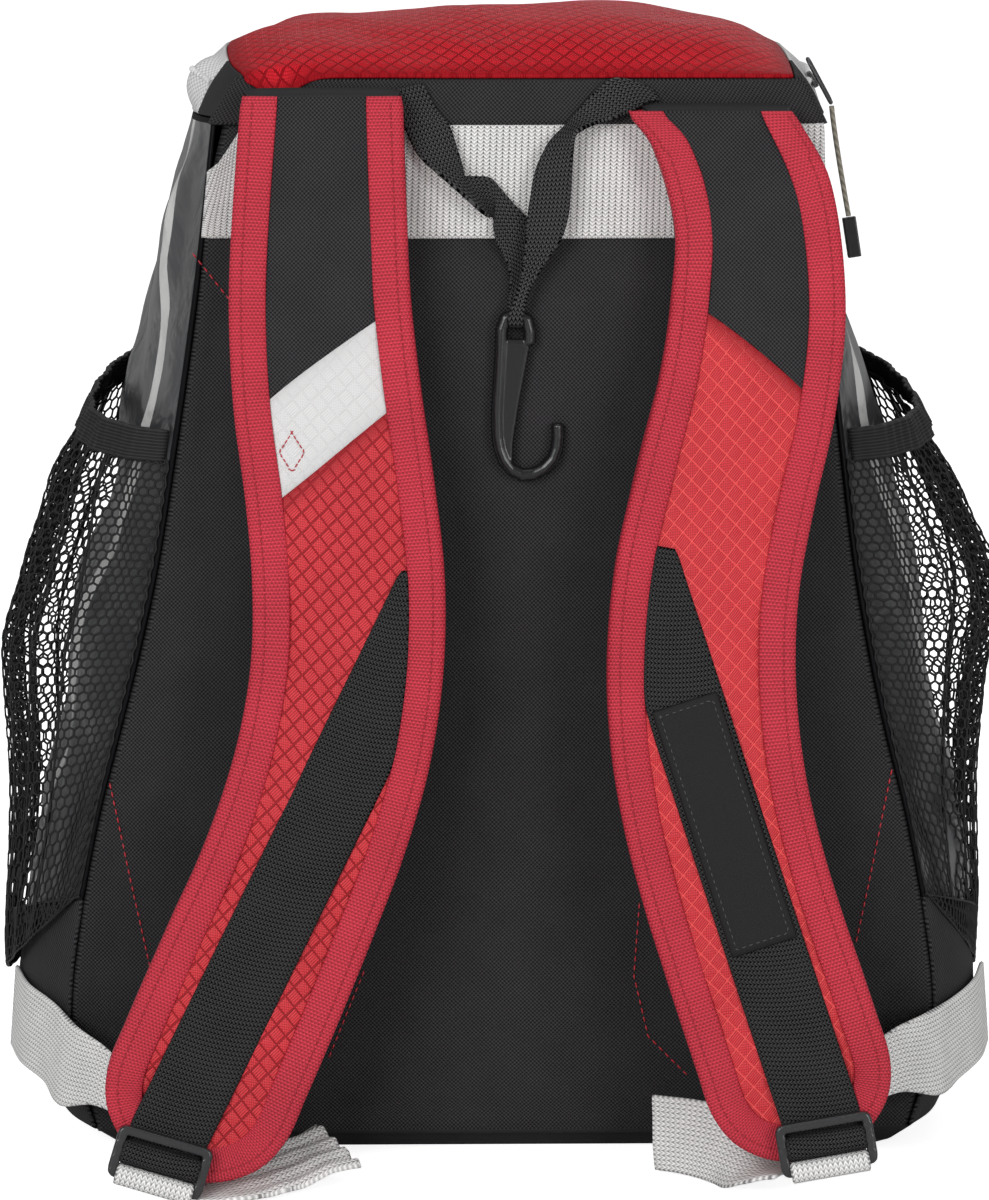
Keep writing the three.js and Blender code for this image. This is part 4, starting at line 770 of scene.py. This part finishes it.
for side, way in SIDES:
    panel, panel_far = coated_faces[side]
    out = facing(panel, panel_far)
    rim = lattice(f"pocket_elastic_{side}", (0.2 * way, -1, -0.5), (0, 0, 1))
    rim_near, rim_far = finer(*rim, 1.2 * MM, 1.6 * MM)
    spots = np.array([v.co for v in merged(f"mesh_pocket_{side}").vertices])
    nearest = np.array([((panel - spot) ** 2).sum(axis=2).argmin() for spot in spots])
    lifts = ((spots - panel.reshape(-1, 3)[nearest]) * out.reshape(-1, 3)[nearest]).sum(axis=1)
    shares = (nearest % panel.shape[1]) / (panel.shape[1] - 1)
    stand_off = plate(np.stack([shares, spots[:, 2] / (200 * MM)], axis=1), lifts, 1e-3)
    columns = round(FULL_ACROSS * runs(panel)[1].max() / CELL)
    tall = rim_near[0, :, 2].mean() - panel[0, :, 2].mean()
    rows = round(FULL_UP * tall / (CELL * math.sqrt(3) / 2))
    points = np.empty((rows + 1, columns + 1, 3))
    w = np.arange(rows + 1) / rows
    for column in range(columns + 1):
        for odd in (0, 1):
            mine = np.arange(rows + 1) % 2 == odd
            u = (column + 0.5 * odd) / (columns + 0.5)
            belly = math.sin(math.pi * u) ** 0.55
            at = u * (panel.shape[1] - 1)
            i = min(int(at), panel.shape[1] - 2)
            wall, normal = (grid[:, i] + (at - i) * (grid[:, i + 1] - grid[:, i]) for grid in (panel, out))
            foot = wall[0, 2] + 1.0 * MM
            top = np.interp(wall[0, 1], rim_near[0, :, 1], rim_near[0, :, 2])
            z = foot + w * (top - foot)
            lift = stand_off(np.stack([0 * z + u, z / (200 * MM)], axis=1))
            phase = 2 * math.pi * PLEATS * u + 1.3 * np.sin(5 * w + way)
            pleats = ease(w, 0, 0.3) * np.sin(phase) * (1 - 0.6 * ease(w, 0.9, 1))
            lift = lift + PLEAT * belly * (pleats - drawn_in(side, w))
            spot, turned = (np.stack([np.interp(z, wall[:, 2], values[:, k]) for k in range(3)], axis=1)
                            for values in (wall, normal))
            spot = spot + turned * np.maximum(lift, 0.6 * MM)[:, None]
            spot[:, 2] = z - SAG * belly * (w / SAG_AT) * np.exp(1 - w / SAG_AT)
            points[mine, column] = spot[mine]
    grid = np.arange(points.size // 3).reshape(rows + 1, columns + 1)
    faces = []
    for r in range(rows):
        a, b, c, d = grid[r, :-1], grid[r, 1:], grid[r + 1, :-1], grid[r + 1, 1:]
        pair = [(a, b, c), (b, d, c)] if r % 2 == 0 else [(a, d, c), (a, b, d)]
        faces += np.concatenate([np.stack(three, axis=1) for three in pair]).tolist()
    mesh = bpy.data.meshes.new(f"net_{side}")
    mesh.from_pydata(points.reshape(-1, 3).tolist(), [], faces)
    net = grown(stand(f"net_{side}", mesh), net_knit, Radius=STRAND, Material=net_nylon)
    fit(net, "black_net", f"mesh_pocket_{side}")

    _, over, _ = runs(rim_near)
    gathers = 0.45 * MM * np.sin(over * 2 * math.pi / (5.5 * MM) + 2 * ripple(rim_near, 20 * MM, 41))
    cloth(f"rim_{side}", rim_near, rim_far, elastic, "black_net", f"pocket_elastic_{side}", "gathered",
          f"mesh_pocket_{side}", push=gathers)


# Top edge
# A band of the black cloth closes the back panel's top seam, and a flat grey webbing is sewn across just below
# the lid, under the haul loop and the straps.

# Knitted webbing: columns of slanted loops that meet in a V, with gaps between the columns, painted dark as
# shade
knitted, knit_in, knit_out = pattern(
    "knitted_webbing", {"Vector": "Vector", "Column": "Float", "Row": "Float"},
    {"Height": "Float", "Gap": "Float", "Wear": "Float"})
across, up, _ = node(knitted, "ShaderNodeSeparateXYZ", {"Vector": knit_in["Vector"]})
sums = partial(calc, knitted)
column = sums("PINGPONG", sums("DIVIDE", across, knit_in["Column"]), 0.5)
loops = sums("MULTIPLY_ADD", column, 1.6, sums("DIVIDE", up, knit_in["Row"]))
loop = sums("MULTIPLY_ADD", sums("SINE", sums("MULTIPLY", loops, 2 * math.pi)), 0.5, 0.5)
wall = node(knitted, "ShaderNodeMapRange", {"Value": column, "From Min": 0.1, "From Max": 0.0})["Result"]
gap = sums("MULTIPLY", wall, sums("SUBTRACT", 1.0, loop))
height = sums("MULTIPLY_ADD", loop, 0.7, sums("MULTIPLY", sums("SQRT", column), 0.62))
wear = speckle(knitted, knit_in["Vector"], 70.0, 4.0)
for key, value in (("Height", height), ("Gap", gap), ("Wear", wear)):
    knitted.links.new(value, knit_out[key])


def webbing_cloth(name, deep, mid, column, row, roughness=0.75, shade_and_sheen=0.0, gloss=0.3):
    """Knitted webbing in two tones, with its own column and row pitch: painted shade darkens its hollows and
    gaps, and a further amount deepens that shade and paints its crests lighter as a sheen."""
    made, tree, shader = finish(name, mid, roughness, specular_ior_level=gloss)
    knit = laid(tree, knitted, Column=column, Row=row)
    # Painted shade in the hollows and gaps, and with the further amount a painted sheen on the crests
    tone = calc(tree, "MULTIPLY_ADD", knit["Height"], 0.8 + shade_and_sheen, -0.05 - 0.7 * shade_and_sheen)
    tone = calc(tree, "MULTIPLY_ADD", knit["Gap"], -0.9, tone)
    tone = calc(tree, "MULTIPLY_ADD", knit["Wear"], 0.3, tone)
    tint(shader, tone, deep, mid)
    raise_threads(shader, knit["Height"], 0.7, 0.4 * MM)
    return made


# Its deep tone is painted shade between the threads
grey_top = webbing_cloth("grey_top", (0.10, 0.10, 0.10), (0.84, 0.835, 0.825), 2.15 * MM, 1.25 * MM)
near, far = cloth_faces("top_webbing", (-1, -1, -1), (1, 0, 0), 3 * MM, 2.5 * MM)
# The webbing's left end is cut off at a slant under the side seam: what share of its width, over what run
SLANT = 0.42
SLANT_RUN = 13 * MM
slant = SLANT * (1 - ease(runs(near)[0][:, :1], 0, SLANT_RUN))
for face in (near, far):
    face[:] = face[:, :1] + (face - face[:, :1]) * (1 - slant)[..., None]
bow = 0.35 * MM * ripple(near, 40 * MM, 19)
moved = facing(near, far) * np.maximum(bow, -0.1 * MM)[..., None]
top_strip = shell("top_strip", np.swapaxes(near + moved, 0, 1), np.swapaxes(far, 0, 1), grey_top)
fit(top_strip, "grey_webbing", "top_webbing")
cut(top_strip, near, "stretched", "back_panel")

# The band's ends turn the corner on to the zip's tabs: how far its lower and upper edges reach out, back and up
TURN = np.array([(3.6, 2.2, 0.1), (2.6, 0.2, 0.6)]) * MM
near, far = (np.concatenate([face[:1] + TURN * (-1, 1, 1), face, face[-1:] + TURN])
             for face in lattice("top_band", (-1, -1, -1), (1, 0, 0)))
near, far = finer(near, far, 3 * MM, 2 * MM)
cloth("top_edge", near, far, black_cloth, "black_cloth", "top_band", "folded", "back_panel", "lid")


# Shoulder straps
# Each curved strap is a foam pad with a black lining, faced in black cloth at the top and red ripstop below;
# the left one has a white panel between. A red grosgrain tape is folded over its edges and sewn through.

grosgrain, ribbed_in, ribbed_out = pattern(
    "grosgrain", {"Vector": "Vector"}, {"Height": "Float", "Wear": "Float"})
across, up, _ = node(grosgrain, "ShaderNodeSeparateXYZ", {"Vector": ribbed_in["Vector"]})
sums = partial(calc, grosgrain)
ribs = sums("DIVIDE", up, 1.15 * MM)
beads = sums("MULTIPLY_ADD", sums("FLOOR", ribs), 0.5, sums("DIVIDE", across, 1.3 * MM))
rib, bead = (sums("SINE", sums("MULTIPLY", count, 2 * math.pi)) for count in (ribs, beads))
height = sums("MULTIPLY_ADD", rib, 0.28, sums("MULTIPLY_ADD", bead, 0.22, 0.5))
grosgrain.links.new(height, ribbed_out["Height"])
grosgrain.links.new(speckle(grosgrain, ribbed_in["Vector"], 45.0, 4.0), ribbed_out["Wear"])

red_tape, tree, shader = finish("red_tape", (0.5, 0.025, 0.045), 0.6, specular_ior_level=0.25)
threads = laid(tree, grosgrain)
# Painted shade in the hollows of the ribs and beads, with worn patches
tone = calc(tree, "MULTIPLY_ADD", threads["Height"], 0.8, calc(tree, "MULTIPLY", threads["Wear"], 0.3))
tint(shader, tone, (0.13, 0.004, 0.011), (0.68, 0.042, 0.070))
raise_threads(shader, threads["Height"], 0.9, 0.4 * MM)
tape_thread = grained("tape_thread", (0.23, 0.006, 0.015), (0.37, 0.010, 0.025), 0.6, 1500.0, 0.1 * MM)

# Facing pieces of each strap, from the top down, and the slant of its weave
FACINGS = {
    "left": ([("upper", "black_cloth"), ("number", "white_ripstop"), ("lower", "red_ripstop")], 0.17),
    "right": ([("upper", "black_cloth"), ("lower", "red_ripstop")], -0.14),
}
FACING_CLOTH = {"upper": black_cloth}
FACING_CLOTH["number"] = ripstop_cloth(
    "white_ripstop", (0.52, 0.515, 0.515), (0.62, 0.615, 0.615), (0.55, 0.545, 0.545), 0.17, 0.15 * MM)
# The raised threads are painted dark as shade on the left strap, and pale as a highlight on the right one
STRAP_THREAD_SHADE_AND_HIGHLIGHT = {"left": (0.24, 0.006, 0.011), "right": (0.80, 0.085, 0.085)}
FACE_STEP = 3 * MM
CROWN = 1.0 * MM
# The tops of the straps are drawn level with the seam that they are sewn into, from this height up
LEVEL_FROM = 340 * MM
TOP_SEAM = {"left": 366 * MM, "right": 361 * MM}
# The right strap's inner tape rolls aside at its top
ROLL = 4.5 * MM
ROLL_RUN = 7 * MM
# The seam of the tape lies this far over it from its inner edge
SEAM_INSET = 8.3 * MM


def level(face, tops, high):
    """Draws the top of a strap's face from the heights of its end to one height."""
    rise = np.maximum((face[..., 2] - LEVEL_FROM) / (tops - LEVEL_FROM), 0)
    face[..., 2] += rise * (high - tops)


for side, (facings, slant) in FACINGS.items():
    # Each strap gets its own copy of the ripstop: painted shade on the left one's threads, a painted highlight
    # on the right one's
    FACING_CLOTH["lower"] = ripstop_cloth(
        f"red_strap_{side}", (0.28, 0.009, 0.014), (0.66, 0.036, 0.047), STRAP_THREAD_SHADE_AND_HIGHLIGHT[side], slant)
    near, far = cloth_faces(f"strap_pad_{side}", (-2, -1, 1), (0, 0, -1), 5 * MM)
    for face in (near, far):
        level(face, face[0, :, 2].copy(), TOP_SEAM[side])
    pad = shell(f"pad_{side}", near, far, black_cloth)
    size = near.shape[0] * near.shape[1]
    rim = size + np.flatnonzero(runs(near)[2].ravel() < 4 * MM)
    puff(pad, [*range(size), *rim, *range(2 * size, len(pad.data.vertices))], 1.5 * MM)
    fit(pad, "black_cloth", f"strap_pad_{side}")

    for part, slot in facings:
        name = f"strap_face_{part}_{side}"
        near, far = cloth_faces(name, (-2, -1, 1), (0, 0, -1), FACE_STEP)
        if part == "upper":
            for face in (near, far):
                level(face, face[0, :, 2].copy(), TOP_SEAM[side])
        _, over, border = runs(near)
        share = over / over[:, -1:]
        lift = 0.6 * MM * ripple(near, 24 * MM, 23) * ease(border, 0, 8 * MM)
        lift = CROWN * (1 - (2 * share - 1) ** 2) + lift
        near = near + facing(near, far) * np.maximum(lift, 0)[..., None]
        cloth(f"facing_{part}_{side}", near, far, FACING_CLOTH[part], slot, name, "stretched",
              f"strap_pad_{side}", flat=near[..., ::2])
        if part == "number":
            white_face, white_out = near, facing(near, far)

    near, far = cloth_faces(f"strap_binding_{side}", (-1, -1, 1), (0, 0, -1), 3 * MM, 1.5 * MM)
    half = len(near) // 2
    for face in (near, far):
        level(face[:half], face[0, :, 2].copy(), TOP_SEAM[side])
        level(face[half:], face[-1, :, 2].copy(), TOP_SEAM[side])
        if side == "right":
            face[..., 0] -= ROLL * np.exp(-(runs(near)[0] / ROLL_RUN) ** 2)
    _, over, border = runs(near)
    out = facing(near, far)
    near = near + out * (0.5 * MM * ease(border, 0, 4 * MM))[..., None]
    cloth(f"tape_{side}", near, far, red_tape, "red_binding", f"strap_binding_{side}", "folded",
          f"strap_pad_{side}")
    inset = np.abs(over - SEAM_INSET).argmin(axis=1)
    rows = np.arange(len(near))
    seam = near[rows, inset] + 0.12 * MM * out[rows, inset]
    sew(f"tape_seam_{side}", [seam[1:-1]], tape_thread, "red_binding", 3.1, 2.5, 0.55, 0.5)


# A small plain diamond is sewn near the white panel's lower corner: its place in shares of the panel, and its
# half sizes
MARK_AT = (0.66, 0.24)
MARK_HALF = (4.2 * MM, 6.5 * MM)
row, column = (round(share * (count - 1)) for share, count in zip(MARK_AT, white_face.shape))
centre = white_face[row, column] + 0.15 * MM * white_out[row, column]
across_mark, up_mark = np.array([MARK_HALF[0], 0, 0]), np.array([0, 0, MARK_HALF[1]])
corners = [centre + up_mark, centre + across_mark, centre - up_mark, centre - across_mark, centre + up_mark]
flat_face = white_face.reshape(-1, 3)
line = np.concatenate([np.linspace(a, b, 9) for a, b in zip(corners, corners[1:])])
over_cloth = [((flat_face[:, ::2] - point[::2]) ** 2).sum(axis=1).argmin() for point in line]
line[:, 1] = flat_face[over_cloth, 1] - 0.2 * MM
sew("sewn_diamond", [line], red_thread, "red_binding", 1.9, 1.7, 0.6, 0.5)


# Lower webbing
# A black strip is sewn down each strap to a ladder-lock buckle. Grey webbing comes from the bag's lower corner,
# goes through the buckle and ends in a short loose tail. The right strip carries a small plain woven label.

# Deep tones are painted shade between webbing threads; black webbing crests are painted lighter as a sheen
PAINTED_GAP_BLACK = (0.0005, 0.0005, 0.0005)
BLACK_GLOSS = 0.02
black_strip = webbing_cloth(
    "black_strip", PAINTED_GAP_BLACK, (0.047, 0.047, 0.048), 1.6 * MM, 1.2 * MM, 0.6, 0.65, BLACK_GLOSS)
grey_strap = webbing_cloth("grey_strap", (0.20, 0.20, 0.20), (0.91, 0.905, 0.895), 1.7 * MM, 1.9 * MM)
label_cloth, tree, shader = finish("label_cloth", (0.008, 0.008, 0.009), 0.6, specular_ior_level=0.2)
raise_threads(shader, laid(tree, weave, Pitch=0.4 * MM)["Height"], 0.5, 0.15 * MM)
label_thread = grained("label_thread", (0.035, 0.035, 0.036), (0.065, 0.065, 0.067), 0.6, 1500.0, 0.1 * MM)


def mould(name, grain, rounds, material, slot, swell=0.0, body="bag"):
    """Puts a copy of a hard piece in its place, with its edges softened, as they come from a mould, and with
    the bulk that takes made up."""
    piece = stand(name + "_moulded", merged(name))
    skin = piece.modifiers.new("skin", "REMESH")
    skin.mode = "VOXEL"
    skin.voxel_size = grain
    soften = piece.modifiers.new("soften", "SMOOTH")
    soften.factor = 0.5
    soften.iterations = rounds
    fill = piece.modifiers.new("fill", "DISPLACE")
    fill.mid_level = 0
    fill.strength = swell
    settled(piece)
    piece.data.materials.append(material)
    fit(piece, slot, name, body=body)
    return piece


buckle_plastic = grained(
    "buckle_plastic", (0.014, 0.0145, 0.0155), (0.026, 0.0265, 0.0285), 0.26, 900.0, 0.025 * MM,
    specular_ior_level=0.5)
plastic = grained(
    "dark_plastic", (0.005, 0.0053, 0.006), (0.009, 0.0097, 0.011), 0.24, 900.0, 0.025 * MM,
    specular_ior_level=0.42)

# The anchor's lower edge tucks in behind the strap's end: its rows, and how far they go in and up
TUCKED = slice(4, 7)
TUCK = np.array([(6, 0, 2.7), (15, 0, 5.8), (7.5, 0, 2)]) * MM
# It hangs a little where it leaves the seam: rows, and how far its lower and upper edges go out and down
SLACK_ROWS = slice(0, 4)
HANG = np.array([(2.5, 0, -5.5), (0.5, 0, -2.5)]) * MM
# The left tail lies bunched in pleats of this run, with its back edge off the floor by these heights
PLEAT_RUN = 7 * MM
TAIL_RISE = np.array([0, 4, 8, 10, 10, 8]) * MM

for side, way in SIDES:
    near, far = cloth_faces(f"strap_webbing_{side}", (-1, -1, 1), (0, 0, -1), 2.5 * MM)
    cloth(f"strip_{side}", near, far, black_strip, "black_webbing", f"strap_webbing_{side}", "stretched",
          f"strap_pad_{side}", flat=np.stack(runs(near)[:2], axis=2))

    mould(f"buckle_{side}", 0.4 * MM, 4, buckle_plastic, "plastic_dark", 0.3 * MM)

    near, far = lattice(f"anchor_webbing_{side}", (way, 1, -1), (0, -1, 0))
    for face in (near, far):
        face[TUCKED, 0] += TUCK * (-way, 1, 1)
        face[SLACK_ROWS] += HANG * (way, 1, 1)
    near, far = finer(near, far, 2 * MM, 2 * MM)
    cloth(f"anchor_{side}", near, far, grey_strap, "grey_webbing", f"anchor_webbing_{side}", "folded",
          f"buckle_{side}")

    near, far = lattice(f"webbing_tail_{side}", (way, -1, 1), (-way, 0, 0))
    if side == "left":
        for face in (near, far):
            face[:, 1, 2] += TAIL_RISE
    near, far = finer(near, far, 1.5 * MM, 2 * MM)
    down, over, _ = runs(near)
    bunched = (1 - way) / 2 * ease(down, 10 * MM, 40 * MM)
    creases = 1.3 * MM * bunched * (1 + np.sin(over * 2 * math.pi / PLEAT_RUN))
    creases = 0.4 * MM * ripple(near, 9 * MM, 47 + way) + creases
    cloth(f"tail_{side}", near, far, grey_strap, "grey_webbing", f"webbing_tail_{side}", "folded",
          f"anchor_webbing_{side}", push=creases)

near, far = cloth_faces("label_patch", (-1, -1, 1), (0, 0, -1), 2 * MM)
cloth("label", near, far, label_cloth, "label_black", "label_patch", "laid", "strap_webbing_right")
inset = near + 0.1 * MM * facing(near, far)
frame_line = np.concatenate([inset[1, 1:-1], inset[1:-1, -2], inset[-2, -2:0:-1], inset[-2:0:-1, 1]])
sew("label_seam", [frame_line], label_thread, "label_black", 2.4, 1.8, 0.5, 0.4)


# Haul loop and fence hook
# A loop of narrow black webbing hangs from the top seam. A moulded hook with a thin web turns on its bight,
# to hang the bag on a dugout fence.

# Painted shade between its threads and a painted sheen on its crests, as on the black strip
loop_webbing = webbing_cloth(
    "loop_webbing", PAINTED_GAP_BLACK, (0.0655, 0.0655, 0.0665), 1.35 * MM, 1.5 * MM, 0.6, 1.0, BLACK_GLOSS)
# Edges of its legs in mm, from the left end down to the hook and up again: left edge, then right edge. The
# left leg is doubled back on itself halfway, and the right one turns edgeways on to the seam.
LEFT_LEG = [
    (-39.6, -94.4, 366.8, -27.6, -94.4, 369.8), (-34.8, -95, 361.1, -23.1, -95.2, 361.6),
    (-31.6, -96, 352.4, -18.9, -96.6, 356.1), (-27.9, -97.6, 345.8, -16.2, -97, 348.3),
    (-22.1, -101.5, 340.5, -14.5, -97.6, 343.1), (-15.4, -103.4, 334.7, -13.7, -98.2, 340.3),
    (-6.4, -102.4, 326.8, -13, -99.4, 339), (-4.6, -98.6, 326.1, -8.9, -97.6, 338.7),
    (-3.4, -96, 325.6, -4.5, -96, 338.1), (-3.3, -97.2, 322.5, -1.3, -96.8, 334.6),
    (-2.5, -97.6, 317.8, 3.2, -96.9, 329.2), (-0.2, -97.2, 313.5, 7.7, -96.4, 323.6),
    (2.2, -96.8, 306.9, 8, -96, 313.1),
]
RIGHT_LEG = [
    (5.6, -103, 303.3, 8.4, -103, 301.8), (6.9, -103, 310.9, 13.4, -103, 310.3),
    (7.6, -102.6, 317.5, 18.2, -102.8, 317.5), (8.2, -102, 324.8, 20.9, -102.6, 325.4),
    (9.3, -101.2, 332, 21.7, -102, 332.6), (10.4, -100.2, 338.7, 22.2, -101.6, 339.8),
    (12.1, -99, 344.2, 22.6, -102, 345.9), (15.2, -97.4, 350, 23.1, -103.4, 351),
    (18.9, -95.8, 353.8, 23.8, -103.6, 353.7), (21.6, -95, 356.4, 25.2, -102.6, 354.8),
    (24.5, -94.8, 360.1, 29.5, -100, 356.7), (27.9, -94.7, 363.8, 34.9, -97.6, 358.3),
    (31.8, -94.4, 367.7, 40.5, -95.8, 360.1), (37.2, -94.2, 371.6, 45.6, -94.8, 362.7),
    (44.2, -94, 370.7, 48.7, -94.4, 364.6), (49.8, -93.8, 368.2, 52.1, -94, 364.6),
]
LOOP_THICK = 1.6 * MM
EYE_ROWS = slice(7, 13)
bight = np.mean(lattice("haul_loop", (-1, -1, 1), (0.3, 0, -1)), axis=0)[EYE_ROWS][:, [0, -1]]
legs = [np.array(leg).reshape(-1, 2, 3) * MM for leg in (LEFT_LEG, RIGHT_LEG)]
sheet = np.concatenate([legs[0], bight, legs[1]])
out = np.cross(np.gradient(sheet, axis=0), sheet[:, 1:] - sheet[:, :1])
out *= LOOP_THICK / 2 / norm(out, axis=2, keepdims=True)
near, far = finer(sheet + out, sheet - out, 1.2 * MM, 1.6 * MM)
cloth("loop", near, far, loop_webbing, "black_webbing", "haul_loop", "hung", "fence_hook")
mould("fence_hook", 0.4 * MM, 3, plastic, "plastic_dark", 0.6 * MM, "hook")


# Zip pull
# The slider sits on the coil at the right end of the zip. A wire bail on it holds a short cord with a moulded
# grip at its end.

steel = grained(
    "plated_steel", (0.075, 0.075, 0.08), (0.125, 0.125, 0.13), 0.28, 1200.0, 0.02 * MM, metallic=1.0)
mould("zip_slider", 0.3 * MM, 3, steel, "zip_steel")
mould("zip_pull_bail", 0.2 * MM, 2, steel, "zip_steel")
grip = mould("zip_pull_end", 0.3 * MM, 3, plastic, "plastic_dark")

CORD_POINTS = [
    (0.11375, -0.0564, 0.3612), (0.11406, -0.0563, 0.3585), (0.11443, -0.0562, 0.3558),
    (0.11484, -0.0561, 0.3531), (0.11527, -0.056, 0.3503), (0.11571, -0.0559, 0.3476),
    (0.11617, -0.0558, 0.3449), (0.11663, -0.0557, 0.3422), (0.11711, -0.0556, 0.3395),
    (0.1176, -0.0555, 0.3368), (0.1181, -0.0554, 0.3341), (0.1186, -0.0553, 0.3313),
    (0.11911, -0.0552, 0.3286), (0.11963, -0.0551, 0.3259), (0.12015, -0.055, 0.3232),
]
CORD_RADIUS = 0.9 * MM
braid, tree, shader = finish("braid", (0.27, 0.25, 0.2), 0.8)
place = node(tree, "ShaderNodeTexCoord")["Object"]
inputs = {"Vector": place, "Scale": 260.0, "Distortion": 0.4}
strands = node(tree, "ShaderNodeTexWave", inputs, wave_type="BANDS", bands_direction="DIAGONAL")["Fac"]
tint(shader, strands, (0.17, 0.155, 0.12), (0.36, 0.33, 0.27))
line = bpy.data.curves.new("pull_cord", "CURVE")
line.dimensions = "3D"
line.bevel_depth = CORD_RADIUS
line.bevel_resolution = 4
line.use_fill_caps = True
spline = line.splines.new("POLY")
spline.points.add(len(CORD_POINTS) - 1)
for point, place in zip(spline.points, CORD_POINTS):
    point.co = (*place, 1)
line.materials.append(braid)
cord = stand("pull_cord", line)
fit(cord, "cord_beige", "zip_pull_cord")
